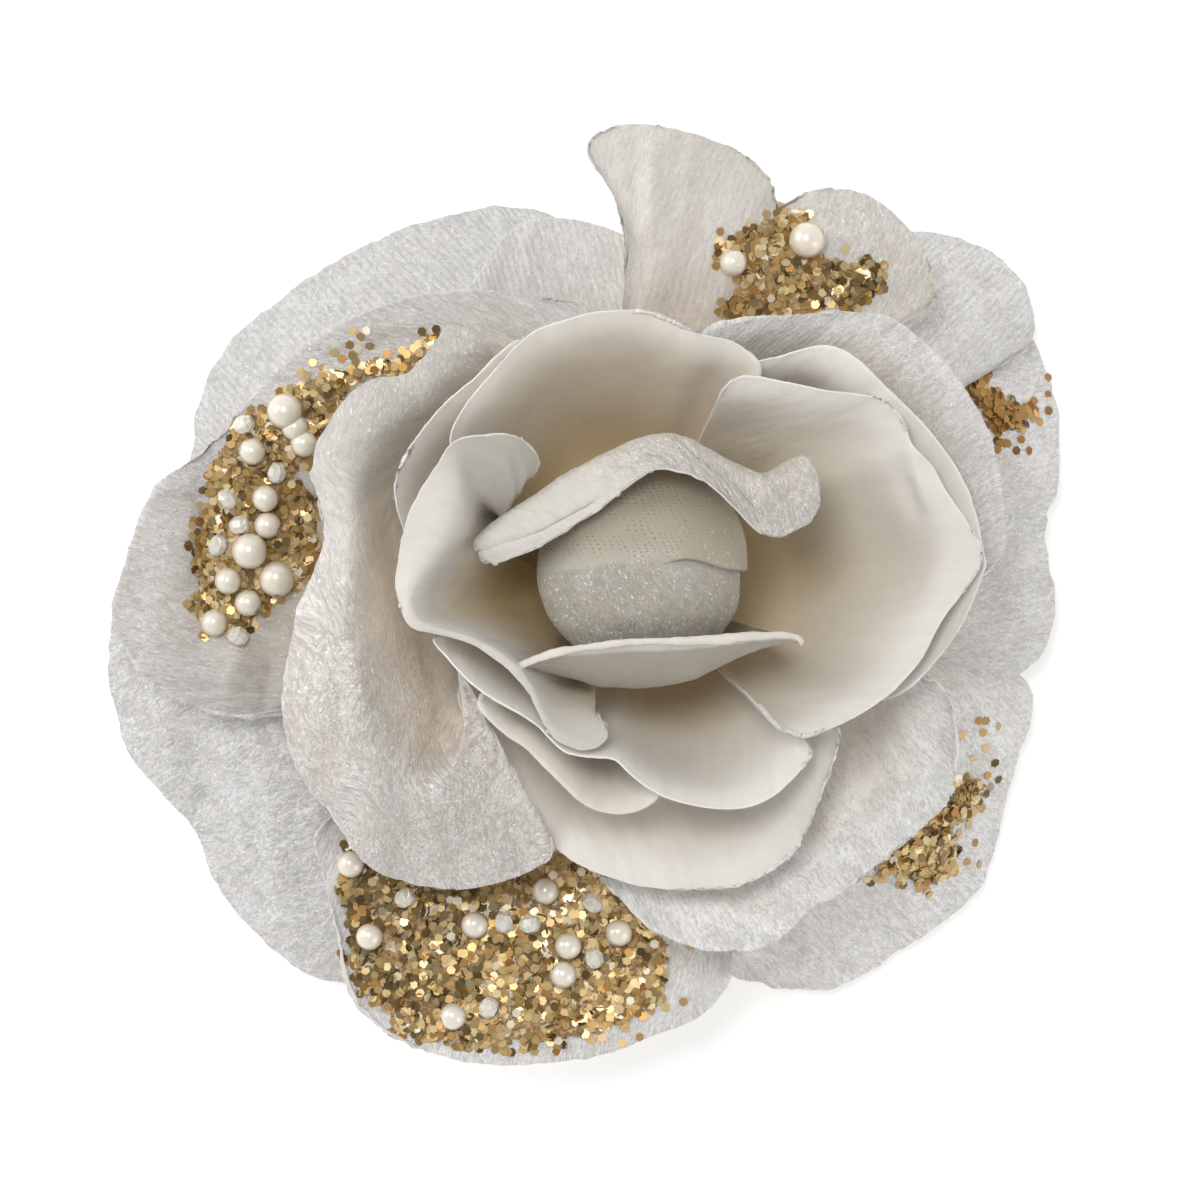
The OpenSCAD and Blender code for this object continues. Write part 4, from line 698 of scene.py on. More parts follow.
                                    folds=(((870, 900), (905, 950), 1.4, -0.9), ((800, 950), (830, 990), 1.4, 0.7), ((980, 700), (1010, 780), 1.3, 0.7))),
    "outer_petal_upper_left": spec(OUTER_UPPER_LEFT, "velvet", "suede", (0.0, 0), 0.25, 0.26, spark=const(0.6), painted_warm_shade=const(0.0), ribs=const(1.0), seed=24, dye_and_shade=(0.84, 0.84, 0.84), wave=0.5),
    "outer_petal_lower_left": spec(OUTER_LOWER_LEFT, "velvet", "suede", (0.0, 0), 0.25, 0.30, spark=const(1.1), painted_warm_shade=const(0.0), ribs=const(0.4), seed=25, dye_and_shade=(0.94, 0.94, 0.94), wave=0.6,
                                   folds=(((180, 730), (205, 830), 1.5, -0.9), ((265, 770), (290, 960), 1.8, 0.8), ((230, 730), (240, 860), 1.5, 0.6))),
}

FRONT = {}      # each petal's front as a ray-casting tree, in millimetres
fibre_parts = []


def even(P, v, n):
    """n values of u an even distance apart along the petal's line at v."""
    u = np.linspace(0, 1, 400)
    p = surface(P, u, np.full((400, 1), v))[:, 0]
    s = arc(p, 0)
    return np.interp(np.linspace(0, s[-1], n), s, u)


def build_petal(name, k):
    P, seed = k["P"], k["seed"]
    r, turn = k["rolled"][0], math.radians(k["rolled"][1])
    rim = surface(P, np.linspace(0, 1, 300), np.full((300, 1), 1.0))[:, 0]
    nu = int(np.clip(arc(rim, 0)[-1] / k["cell"], 40, 260))
    u = even(P, 0.96, nu)
    V = np.tile(np.linspace(0, 1, 160), (nu, 1))
    G = surface(P, u, V)
    L = arc(G, 1)
    end = L[:, -1] - r * math.sin(min(turn, math.pi / 2))
    rim_at = arc(surface(P, u, np.full((nu, 1), 1.0))[:, 0], 0)
    from_side = np.minimum(rim_at, rim_at[-1] - rim_at)
    end = end - k["corner"] * (1 - np.sqrt(np.clip(1 - (1 - np.clip(from_side / k["corner"], 0, 1)) ** 2, 0, 1)))
    nv = int(np.clip(L[:, -1].mean() / k["cell"], 36, 110))
    w = 1 - (1 - np.linspace(0, 1, nv)) ** 1.25
    V = np.stack([np.interp(w * end[i], L[i], V[i]) for i in range(nu)])
    G = surface(P, u, V)
    if r > 0:
        b, d = backs(G)[:, -1], unit(G[:, -1] - G[:, -2])
        steps = max(3, int(turn * r / 0.22))
        rr = (r * (1 + k["swell"] * np.exp(-((u - 0.62) / 0.16) ** 2)))[:, None]
        roll = [G[:, -1] + rr * (math.sin(a) * d + (1 - math.cos(a)) * b) for a in np.linspace(0, turn, steps + 1)[1:]]
        G = np.concatenate([G, np.stack(roll, 1)], 1)
        V = np.concatenate([V, np.ones((nu, steps))], 1)
    s = arc(G, 0)
    s = s - s[s.shape[0] // 2][None, :]
    t = arc(G, 1)
    rimward = (t[:, -1:] - t)
    U = np.broadcast_to(u[:, None], V.shape)
    # slow waves that die out towards the root, creases crushed along the pile, and a slightly ragged outline
    f, g, h = Field(seed), Field(seed + 50), Field(seed + 90)
    grow = soft(0.25, 1.0, V)
    b = backs(G)
    slow = f(s / 7.5, t / 11.0 + 3, 2) * k["curl"] * grow + Field(seed + 150)(s / 14.0, t / 16.0 + 5, 2) * k["wave"] * grow
    for (x0, y0), (x1, y1), width, high in k["folds"]:
        p0, p1 = mm((x0, y0, 0))[:2], mm((x1, y1, 0))[:2]
        q = np.clip(((G[..., :2] - p0) @ (p1 - p0)) / ((p1 - p0) @ (p1 - p0)), 0, 1)
        off = np.linalg.norm(G[..., :2] - p0 - q[..., None] * (p1 - p0), axis=-1)
        slow = slow - high * np.exp(-(off / width) ** 2) * np.sin(np.pi * np.clip(q * 0.8 + 0.1, 0, 1)) ** 0.7
    crease = g(s / 2.3 + 0.35 * f(s / 6, t / 6, 2), t / 5.5, 3, 0.55) * k["crush"] * (0.35 + 0.65 * grow)
    fine = h(s / 0.9, t / 1.6, 2) * k["crush"] * 0.16
    G = G + b * (slow + crease + fine)[..., None]
    ragged = (h(s / 3.0, t * 0 + 5.5, 3, 0.5) * 0.08 + h(s / 0.95, t * 0 + 8.5, 2, 0.6) * 0.07) * soft(2.5, 0.0, rimward)
    G = G + unit(np.gradient(G, axis=1)) * ragged[..., None]
    low = 0.95
    G[..., 2] = low + 0.35 * np.logaddexp(0, (G[..., 2] - low) / 0.35)
    side = np.minimum(U, 1 - U) * (s[-1] - s[0]).mean()
    edge_mm = np.minimum(rimward, side)
    thick = k["thick"] * (0.42 + 0.58 * soft(0.0, 3.0, edge_mm))
    zero = np.zeros(V.shape)
    spark = (k["spark"] or const(0.6))(U, V, G)
    painted_warm_shade = (k["painted_warm_shade"] or const(0.0))(U, V, G)
    ribs = (k["ribs"] or const(0.3))(U, V, G)
    lay = np.stack([s + 40 * seed, t, zero], -1)
    if k["laid"] is not None:       # the pile lies one way over the whole petal
        a = math.radians(k["laid"])
        bent = 2.2 * Field(seed + 300)(G[..., 0] / 9, G[..., 1] / 9, 2)
        lay = np.stack([G[..., 0] * math.cos(a) + G[..., 1] * math.sin(a) + bent + 40 * seed, G[..., 1] * math.cos(a) - G[..., 0] * math.sin(a) + 0.5 * G[..., 2], zero], -1)
    at = {"cloth": lay, "look": np.stack([spark, painted_warm_shade, ribs], -1), "edge": edge_mm,
          "dye_and_shade": k["dye_and_shade"](U, V) if callable(k["dye_and_shade"]) else np.broadcast_to(np.array(k["dye_and_shade"], float), V.shape + (3,))}
    o, F, B, mid, way = closed_sheet(name + "_velvet", G, thick, [M[k["front"]], M[k["back"]], M["edge"]], at)
    n, m = G.shape[:2]
    idx = np.arange(n * m).reshape(n, m)
    quads = np.stack([idx[:-1, :-1].ravel(), idx[:-1, 1:].ravel(), idx[1:, 1:].ravel(), idx[1:, :-1].ravel()], 1)
    FRONT[name] = BVHTree.FromPolygons([tuple(p) for p in G.reshape(-1, 3)], [tuple(int(x) for x in q) for q in quads])
    area = np.linalg.norm(np.cross(G[1:, :-1] - G[:-1, :-1], G[:-1, 1:] - G[:-1, :-1]), axis=-1).sum()
    width, length = (s[-1] - s[0]).max(), t[:, -1].max()
    fill = area / (width * length)
    if fill < 0.34:
        width *= fill / 0.36
    elif fill > 0.97:
        width *= fill / 0.95
    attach(o, "flower")
    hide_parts(name)
    # loose fibres along the cut edge
    rs = np.random.RandomState(seed + 200)
    along_edge = mid[m:-m] if False else mid
    keep = np.linalg.norm(along_edge - np.array([HUB[0], HUB[1], 0]), axis=1) > 0
    pts, out = along_edge[keep], way[keep]
    seg = np.linalg.norm(np.diff(pts, axis=0), axis=1)
    count = int(seg.sum() * 5.0)
    where = np.sort(rs.rand(count)) * seg.sum()
    cum = np.concatenate([[0], np.cumsum(seg)])
    i = np.clip(np.searchsorted(cum, where) - 1, 0, len(seg) - 1)
    f = ((where - cum[i]) / np.maximum(seg[i], 1e-9))[:, None]
    base = pts[i] * (1 - f) + pts[i + 1] * f
    way_i = unit(unit(out[i]) + rs.normal(0, 0.75, (count, 3)))
    length_i = 0.12 + 0.42 * rs.rand(count) ** 2.2
    visible = base[:, 2] > P[0][1] - 20
    fibre_parts.append((base[visible] - unit(out[i])[visible] * 0.08, way_i[visible], length_i[visible], seed))
    return o


for name, k in PETALS.items():
    build_petal(name, k)

# ---------------------------------------------------------------- bud
bud_profile = BUD_PROFILE


def dome(offset, az0, az1, z0, n_az, n_r, seed, bumps=0.18):
    """A grid over the bud: columns round it, rows from z0 up to the top. Azimuths may change with the radius."""
    prof = np.array([[max(r + offset, 0.0) if r else 0.0, z + offset * z / 45] for r, z in bud_profile])
    fine = along(prof, np.linspace(0, 1, 400))
    fine = fine[fine[:, 1] >= z0]
    d = arc(fine, 0)
    q = np.linspace(0, d[-1], n_r)
    R, Z = np.interp(q, d, fine[:, 0]), np.interp(q, d, fine[:, 1])
    R[-1] = 0.02
    a0, a1 = az0(R), az1(R)
    w = np.linspace(0, 1, n_az)[:, None]
    A = a0[None, :] + w * (a1 - a0)[None, :]
    f = Field(seed)
    lump = 1 + 0.02 * f(np.cos(A) * 2 + 5, np.sin(A) * 2 + Z[None, :] / 9, 2) * soft(0.5, 4, R)[None, :]
    G = np.stack([BUD[0] + R[None, :] * lump * np.cos(A), BUD[1] + R[None, :] * lump * np.sin(A), np.broadcast_to(Z[None, :], A.shape) + bumps * f(R[None, :] * np.cos(A) / 4, R[None, :] * np.sin(A) / 4 + 9, 2)], -1)
    return G, A, np.broadcast_to(R[None, :], A.shape)


def bud_wrap(name, node, offset_out, thick, az0, az1, z0, seed, spark, pits, dye_and_shade, face, sink=None, n_az=200, n_r=90):
    G, A, R = dome(offset_out, az0, az1, z0, n_az, n_r, seed)
    if sink is not None:
        X, Y = G[..., 0] - BUD[0], G[..., 1] - BUD[1]
        G = G - unit(np.stack([X, Y, np.full(X.shape, 6.0)], -1)) * sink(X, Y)[..., None]
    G = G[::-1]        # columns run clockwise, so that the back of the grid faces the wadding
    A, R = A[::-1], R[::-1]
    X, Y = G[..., 0] - BUD[0], G[..., 1] - BUD[1]
    t = arc(G, 1)
    at = {"cloth": np.stack([X + 3.0 + 0.5 * Y, Y * 1.0 + 60 * seed - 0.5 * X * (face != "knit"), G[..., 2] * 0.5], -1), "look": np.stack([spark(X, Y), 0.25 + 0 * X, pits(X, Y)], -1), "edge": t,
          "dye_and_shade": dye_and_shade(X, Y)}
    o, F, B, mid, way = closed_sheet(name, G, thick, [M[face], M["suede"], M["edge"]], at, lip=0.0)
    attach(o, "flower")
    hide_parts(node)
    return o


full = lambda a: (lambda R: np.full(R.shape, a))
# both wraps' dye_and_shade colours are painted shade, dimmer than the petals as the bud sits low in the cup; the over
# wrap's is lifted towards the under wrap's near its fading lower edge
bud_wrap("bud_wrap_under_velvet", "bud_wrap_under", -0.20, 0.7, full(math.radians(-95)), full(math.radians(265)), 20.9, 31,
         lambda X, Y: 0.8 + 0.4 * soft(5, -7, X), lambda X, Y: 0.12 + 0 * X, lambda X, Y: np.broadcast_to(np.array((0.70, 0.68, 0.625)), X.shape + (3,)), "velvet_back")
lower = lambda R: np.arcsin(np.clip((0.05 + 1.35 * np.exp(-((R - 5.2) / 3.2) ** 2)) / np.maximum(R, 1.0), 0, 1))
upper = full(math.pi + 0.16)
bud_wrap("bud_wrap_over_velvet", "bud_wrap_over", 0.62, 0.6, lower, upper, 24.6, 32,
         lambda X, Y: 0.10 + 0.7 * soft(1, 8, X) + 0.7 * soft(3.5, 0.0, Y), lambda X, Y: (1.0 - 0.7 * soft(2, 8, X)) * soft(-0.5, 2.5, Y), lambda X, Y: np.array((0.595, 0.57, 0.515)) + (soft(4.0, 0.0, Y - 0.1 * X) * soft(6, 0, X))[..., None] * np.array((0.10, 0.15, 0.21)), "knit",
         sink=lambda X, Y: 0.74 * soft(5.5, 0.5, X) * soft(7.0, 2.0, Y) + 0.55 * soft(1.6, 0.3, Y - 0.16 * np.minimum(X, 0)) * soft(4.5, 1.5, X))

# wadding inside the bud
prof = np.array([[0.05, 19.6], [1.1, 19.8], [1.15, 21.4], [3.5, 24.4], [6.3, 28.2], [8.6, 32], [9.7, 35], [9.4, 37.2], [8.0, 39.6], [5.8, 41.5], [3.2, 42.8], [0.05, 43.3]])
pr = along(prof, np.linspace(0, 1, 70))
az = np.linspace(0, 2 * math.pi, 96, endpoint=False)
f = Field(77)
lump = 1 - 0.05 * np.abs(f(np.cos(az)[:, None] * 3 + pr[None, :, 1] / 7, np.sin(az)[:, None] * 3 + pr[None, :, 1] / 5, 3))
V = np.stack([BUD[0] + pr[None, :, 0] * lump * np.cos(az)[:, None], BUD[1] + pr[None, :, 0] * lump * np.sin(az)[:, None], np.broadcast_to(pr[None, :, 1], lump.shape)], -1)


def revolved(name, V, materials, attributes=None):
    """A closed skin from a grid that goes right round: V (columns, rows, 3)."""
    n, m = V.shape[:2]
    idx = np.arange(n * m).reshape(n, m)
    nx = np.roll(idx, -1, 0)
    quads = np.stack([idx[:, :-1].ravel(), nx[:, :-1].ravel(), nx[:, 1:].ravel(), idx[:, 1:].ravel()], 1)
    verts = np.concatenate([V.reshape(-1, 3), V[:, 0].mean(0)[None], V[:, -1].mean(0)[None]])
    tris = np.concatenate([np.stack([nx[:, 0], idx[:, 0], np.full(n, n * m)], 1), np.stack([idx[:, -1], nx[:, -1], np.full(n, n * m + 1)], 1)])
    at = {}
    for k, v in (attributes or {}).items():
        at[k] = np.concatenate([np.asarray(v).reshape(-1), [0, 0]])
    return mesh_object(name, verts, quads, tris, np.zeros(len(quads) + len(tris)), materials, at)


core = revolved("bud_core_wadding", V, [wadding()])
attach(core, "flower")
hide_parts("bud_core")

# loose fibres along every cut edge, one mesh a petal ring
def needles(name, parts, width, material):
    base = np.concatenate([p[0] for p in parts])
    way = np.concatenate([p[1] for p in parts])
    length = np.concatenate([p[2] for p in parts])
    n = len(base)
    side = unit(np.cross(way, np.array([0.31, 0.77, 0.55])))
    up = np.cross(way, side)
    a = [base + width * (math.cos(k * 2.0944) * side + math.sin(k * 2.0944) * up) for k in range(3)]
    bend = unit(way + 0.35 * side)
    V = np.stack(a + [base + bend * length[:, None]], 1).reshape(-1, 3)
    i = np.arange(n)[:, None] * 4
    tris = np.concatenate([i + np.array([[0, 1, 3]]), i + np.array([[1, 2, 3]]), i + np.array([[2, 0, 3]]), i + np.array([[0, 2, 1]])])
    o = mesh_object(name, V, np.zeros((0, 4), int), tris, np.zeros(len(tris)), [material], {"cloth": V}, smooth=False)
    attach(o, "flower")
    return o


rings = {"bud_edge_fibres": range(3, 5), "heart_edge_fibres": range(5, 8), "cup_edge_fibres": range(8, 14), "velvet_edge_fibres": range(14, 17), "glitter_petal_edge_fibres": range(17, 21), "outer_edge_fibres": range(21, 26)}
for n, seeds in rings.items():
    needles(n, [p for p in fibre_parts if p[3] in seeds], 0.024, M["fibre"])

# ---------------------------------------------------------------- glitter, glue, pearls and cut beads
GLITTER = {
    "glitter_left": ("glitter_petal_left", [
        [(230, 425), (265, 405), (285, 395), (350, 385), (345, 405), (320, 430), (300, 480), (318, 500), (320, 545), (312, 575), (290, 590), (240, 635), (197, 632), (195, 600), (192, 540), (203, 490), (215, 455)],
        [(290, 394), (310, 376), (340, 369), (376, 361), (409, 354), (427, 337), (438, 330), (432, 346), (414, 371), (391, 377), (356, 382), (345, 393), (335, 409), (316, 404)]],
        [(352, 330), (360, 336), (366, 330), (349, 344), (369, 345), (333, 352), (312, 362), (341, 358), (357, 348), (300, 372), (322, 368)]),
    "glitter_bottom": ("glitter_petal_bottom", [
        [(336, 885), (345, 850), (395, 870), (450, 875), (545, 860), (575, 850), (615, 895), (640, 918), (668, 945), (668, 980), (655, 1010), (600, 1038), (560, 1050), (500, 1052), (450, 1047), (400, 1034), (374, 1008), (356, 978), (346, 940)]],
        [(352, 1010), (690, 948), (684, 1004), (640, 1040), (622, 1046), (612, 893), (655, 928)]),
    "glitter_top": ("glitter_petal_top", [
        [(716, 255), (722, 240), (745, 232), (760, 222), (785, 212), (803, 215), (825, 260), (850, 262), (875, 258), (885, 275), (880, 290), (865, 302), (800, 316), (745, 322), (722, 316), (735, 280)]],
        [(846, 249), (884, 264), (868, 300), (720, 232), (796, 213)]),
    "glitter_right": ("outer_petal_right", [
        [(950, 372), (975, 355), (1000, 362), (988, 385), (1020, 400), (1042, 410), (1022, 428), (1005, 440), (995, 430), (980, 405)]],
        [(1006, 348), (1016, 348), (1055, 374), (1055, 392), (1055, 408), (1012, 442), (1026, 438), (1021, 449), (1034, 449), (962, 362), (1040, 398), (1046, 420)]),
    "glitter_lower_right": ("outer_petal_lower_right", [
        [(868, 880), (885, 855), (910, 840), (940, 818), (955, 800), (965, 780), (985, 775), (995, 790), (975, 820), (960, 840), (965, 855), (955, 885), (935, 893), (905, 880)]],
        [(983, 722), (990, 722), (1003, 728), (987, 734), (965, 737), (1000, 765), (978, 760), (990, 750), (1004, 782), (980, 846), (985, 868), (955, 770)]),
}
PEARLS = {
    "pearls_left": ("glitter_petal_left", [(294, 427), (251, 451), (303, 443), (264, 498), (266, 525), (226, 581), (246, 603), (212, 623)], [(284, 411), (248, 551), (275, 579)]),
    "pearls_bottom": ("glitter_petal_bottom", [(368, 939), (474, 927), (545, 893), (568, 948), (563, 977), (619, 935), (452, 1019), (349, 866)], []),
    "pearls_top": ("glitter_petal_top", [(733, 263)], [(807, 240)]),
}
BEADS = {
    "glass_beads_left": ("glitter_petal_left", [(243, 424, 20), (276, 472, 70), (226, 498, 120), (238, 525, 10), (216, 545, 60), (236, 636, 150)]),
    "glass_beads_bottom": ("glitter_petal_bottom", [(404, 900, 30), (503, 924, 80), (530, 926, 10), (592, 905, 140), (488, 1010, 60), (594, 960, 100)]),
}
# the olive flakes are gold flakes dimmed into a painted dark reflection
MATERIAL = {"flakes": gold_flakes("gold_glitter_flakes", (1.0, 0.95, 0.84)), "amber": gold_flakes("amber_glitter_flakes", (0.72, 0.52, 0.30)), "olive": gold_flakes("olive_glitter_flakes", (0.34, 0.32, 0.25)), "glue": amber_glue(), "pearl": pearl(), "glass": bead_glass()}


def above(petal, x, y):
    """The petal's front above a plan point in mm: (point, upward normal), or None."""
    hit = FRONT[petal].ray_cast(Vector((x, y, 200)), Vector((0, 0, -1)))
    if hit[0] is None:
        return None
    n = np.array(hit[1])
    return np.array(hit[0]), (n if n[2] > 0 else -n)


def at_grid(petal, p):
    q = mm((p[0], p[1], 0))
    return above(petal, q[0], q[1])


def plan(poly):
    return np.array([mm((a, b, 0))[:2] for a, b in poly])


def inside(poly, x, y):
    """Signed distance in mm into the outline, positive inside."""
    n = len(poly)
    ins = np.zeros(x.shape, bool)
    near = np.full(x.shape, 1e9)
    for i in range(n):
        (x1, y1), (x2, y2) = poly[i], poly[(i + 1) % n]
        c = ((y1 > y) != (y2 > y)) & (x < (x2 - x1) * (y - y1) / ((y2 - y1) if y2 != y1 else 1e-9) + x1)
        ins ^= c
        dx, dy = x2 - x1, y2 - y1
        t = np.clip(((x - x1) * dx + (y - y1) * dy) / (dx * dx + dy * dy), 0, 1)
        near = np.minimum(near, np.hypot(x - x1 - t * dx, y - y1 - t * dy))
    return np.where(ins, near, -near)


# where more flakes take the olive colour, a painted dark reflection: centre and reach on the drawing grid
OLIVE = {"glitter_bottom": (398, 925, 120), "glitter_top": (862, 285, 60)}
PEARL_AT = {}
for node, (petal, small, large) in PEARLS.items():
    for ps, d in ((small, 3.0), (large, 4.0)):
        for p in ps:
            q = at_grid(petal, p)
            PEARL_AT.setdefault(node, []).append((q[0] + np.array([0, 0, 0.36 * d]), d / 2))
EVERY_PEARL = [x for v in PEARL_AT.values() for x in v]


def flakes(name, node, petal, polys, loose, seed):
    rs = np.random.RandomState(seed)
    wob = Field(seed + 7)
    C, Nn, Rr = [], [], []
    for poly in polys:
        P2 = plan(poly)
        lo, hi = P2.min(0) - 1.2, P2.max(0) + 1.2
        step = 0.50
        gx, gy = np.meshgrid(np.arange(lo[0], hi[0], step), np.arange(lo[1], hi[1], step * 0.87))
        gx = gx + (np.arange(gx.shape[0]) % 2)[:, None] * step / 2
        gx, gy = gx + rs.normal(0, 0.16, gx.shape), gy + rs.normal(0, 0.16, gx.shape)
        d = inside(P2, gx, gy) + 0.55 * wob(gx / 1.6, gy / 1.6, 2)
        thin = 1 - 0.85 * soft(0.12, 0.6, wob(gx / 2.0 + 20, gy / 2.0, 2))
        keep = rs.rand(*d.shape) < np.clip(0.10 + 0.9 * soft(-0.7, 0.9, d) * thin, 0, 1) * (d > -0.9)
        for x, y in zip(gx[keep], gy[keep]):
            q = above(petal, x, y)
            if q is None or q[1][2] < 0.25:
                continue
            C.append((q[0], q[1], float(soft(-0.3, 1.4, inside(P2, np.array(x), np.array(y))))))
    for p in loose:
        q = at_grid(petal, p)
        if q is not None:
            C.append((q[0], q[1], 0.0))
    V, count, dark = [], 0, []
    k6 = np.arange(6) * math.pi / 3
    for p, n, bed in C:
        r = 0.50 + 0.05 * rs.rand()
        kind = rs.rand()
        tilt = abs(rs.normal(0, 6)) if kind < 0.64 or bed < 0.1 else (abs(rs.normal(0, 16)) if kind < 0.86 else rs.uniform(45, 85))
        lift = 0.06 + bed * (0.10 + 0.42 * rs.rand()) + 0.32 * math.sin(math.radians(tilt)) * r
        c = p + n * lift
        if any(np.linalg.norm(c - pc) < pr + 0.22 for pc, pr in EVERY_PEARL if abs(pc[0] - c[0]) < 3):
            continue
        turn, az = rs.rand() * 6.283, rs.rand() * 6.283
        side = unit(np.cross(n, [math.cos(az), math.sin(az), 0.1]))
        m = unit(n * math.cos(math.radians(tilt)) + side * math.sin(math.radians(tilt)))
        a = unit(np.cross(m, [0.3, 0.9, 0.2]))
        b = np.cross(m, a)
        ringp = np.outer(np.cos(k6 + turn), a) * r + np.outer(np.sin(k6 + turn), b) * r
        V.append(np.concatenate([c + ringp + m * 0.022, c + ringp - m * 0.022]))
        x0, y0, reach = OLIVE.get(node, (0, 0, 1))
        off = math.hypot(587 + c[0] / UNIT - x0, 596 - c[1] / UNIT - y0) / reach
        # painted dark reflection: some flakes, more of them near the OLIVE centres, get the olive flakes
        dark.append(1 if rs.rand() < 0.06 + 0.50 * float(soft(1.0, 0.4, np.array(off))) else 0)
        count += 1
    V = np.concatenate(V)
    base = np.arange(count)[:, None, None] * 12
    top = np.array([[0, 1, 2, 3], [0, 3, 4, 5]])
    bottom = np.array([[6, 9, 8, 7], [6, 11, 10, 9]])
    sides = np.array([[k, k + 6, (k + 1) % 6 + 6, (k + 1) % 6] for k in range(6)])
    quads = (base + np.concatenate([top, bottom, sides])[None]).reshape(-1, 4)
    o = mesh_object(name, V, quads, np.zeros((0, 3), int), np.repeat(dark, 10), [MATERIAL["amber"] if node == "glitter_right" else MATERIAL["flakes"], MATERIAL["olive"]], smooth=False)
    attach(o, "flower")
    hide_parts(node)
    return o, count


def glue_film(name, petal, polys, seed):
    """Clear amber glue between the flakes: a thin closed film that swells and thins."""
    wob = Field(seed)
    V, Q, n0 = [], [], 0
    for poly in polys:
        P2 = plan(poly)
        lo, hi = P2.min(0) - 0.5, P2.max(0) + 0.5
        xs, ys = np.arange(lo[0], hi[0], 0.32), np.arange(lo[1], hi[1], 0.32)
        gx, gy = np.meshgrid(xs, ys, indexing="ij")
        d = inside(P2, gx, gy) - 0.25 + 0.5 * wob(gx / 1.3, gy / 1.3, 3)
        top = np.zeros(gx.shape + (3,))
        nor = np.zeros(gx.shape + (3,))
        ok = d > 0
        for i, j in zip(*np.nonzero(ok)):
            q = above(petal, gx[i, j], gy[i, j])
            if q is None or q[1][2] < 0.25:
                ok[i, j] = False
                continue
            top[i, j], nor[i, j] = q
        cells = ok[:-1, :-1] & ok[1:, :-1] & ok[1:, 1:] & ok[:-1, 1:]
        used = np.zeros(ok.shape, bool)
        for a, b in ((slice(0, -1), slice(0, -1)), (slice(1, None), slice(0, -1)), (slice(1, None), slice(1, None)), (slice(0, -1), slice(1, None))):
            used[a, b] |= cells
        idx = -np.ones(ok.shape, int)
        idx[used] = np.arange(used.sum())
        h = (0.10 + 0.16 * (0.5 + 0.5 * wob(gx / 0.9 + 9, gy / 0.9, 3))) * soft(0, 0.8, d) + 0.02
        up = top[used] + nor[used] * h[used][:, None]
        dn = top[used] - nor[used] * 0.12
        k = used.sum()
        i, j = np.nonzero(cells)
        a, b, c, e = idx[i, j], idx[i + 1, j], idx[i + 1, j + 1], idx[i, j + 1]
        topq = np.stack([a, b, c, e], 1)
        Q.append(topq + n0)
        Q.append(topq[:, ::-1] + k + n0)
        directed = {}
        for quad in topq:
            for s in range(4):
                directed[(int(quad[s]), int(quad[(s + 1) % 4]))] = 1
        walls = [(p, q) for p, q in directed if (q, p) not in directed]
        Q.append(np.array([[p + n0, p + k + n0, q + k + n0, q + n0] for p, q in walls]))
        V += [up, dn]
        n0 += 2 * k
    Q = np.concatenate(Q)
    o = mesh_object(name, np.concatenate(V), Q, np.zeros((0, 3), int), np.zeros(len(Q)), [MATERIAL["glue"]])
    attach(o, "flower")
    return o


for k, (node, (petal, polys, loose)) in enumerate(GLITTER.items()):
    flakes(node + "_flakes", node, petal, polys, loose, 300 + k)
    glue_film(node + "_glue", petal, polys, 400 + k)


def ball(c, r, axis, seed, nu=36, nv=26):
    """A pearl: a ball with a drilled hole through it along axis."""
    hole = 0.30
    a = unit(np.cross(axis, [0.2, 0.3, 0.93]))
    b = np.cross(axis, a)
    th0 = math.asin((hole + 0.07) / r)
    th = np.linspace(th0, math.pi - th0, nv)
    rad, h = r * np.sin(th), r * np.cos(th)
    # the drilled bore and its rounded mouth
    rad = np.concatenate([[hole, hole], [hole + 0.02], rad, [hole + 0.02], [hole, hole]])
    h = np.concatenate([[h[0] * 0.35, h[0] - 0.10], [h[0] - 0.03], h, [h[-1] + 0.03], [h[-1] + 0.10, h[-1] * 0.35]])
    # painted shade down the drilled bore, carried to the pearl's colour as the hole attribute
    dark = np.concatenate([[1, 1, 0.8], np.zeros(nv), [0.8, 1, 1]])
    ph = np.arange(nu) / nu * 2 * math.pi
    wave = 1 + 0.008 * np.sin(3 * ph + seed)[:, None] * np.sin(np.linspace(0, 6, len(rad)))[None, :]
    V = c + (rad * wave)[..., None] * (np.cos(ph)[:, None, None] * a + np.sin(ph)[:, None, None] * b) + h[None, :, None] * axis
    return V, np.broadcast_to(dark, V.shape[:2])


def ring_mesh(Vs, closed_ends=False):
    """Joins grids (columns round, rows along) into one mesh whose first and last rows meet each other, as a bored bead's do."""
    verts, quads, n0 = [], [], 0
    for V in Vs:
        n, m = V.shape[:2]
        idx = np.arange(n * m).reshape(n, m)
        nx = np.roll(idx, -1, 0)
        j = np.arange(m)
        jn = (j + 1) % m
        quads.append(np.stack([idx[:, j].ravel(), idx[:, jn].ravel(), nx[:, jn].ravel(), nx[:, j].ravel()], 1) + n0)
        verts.append(V.reshape(-1, 3))
        n0 += n * m
    return np.concatenate(verts), np.concatenate(quads)


rs = np.random.RandomState(11)
for node, spots in PEARL_AT.items():
    Vs, dark = [], []
    for k, (c, r) in enumerate(spots):
        az, el = rs.rand() * 6.283, rs.uniform(0.0, 0.35)
        axis = np.array([math.cos(az) * math.cos(el), math.sin(az) * math.cos(el), math.sin(el)])
        V, d = ball(c, r, axis, k)
        Vs.append(V)
        dark.append(d.reshape(-1))
    verts, quads = ring_mesh(Vs)
    o = mesh_object(node + "_drilled", verts, quads, np.zeros((0, 3), int), np.zeros(len(quads)), [MATERIAL["pearl"]], {"hole": np.concatenate(dark)})
    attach(o, "flower")
    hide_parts(node)

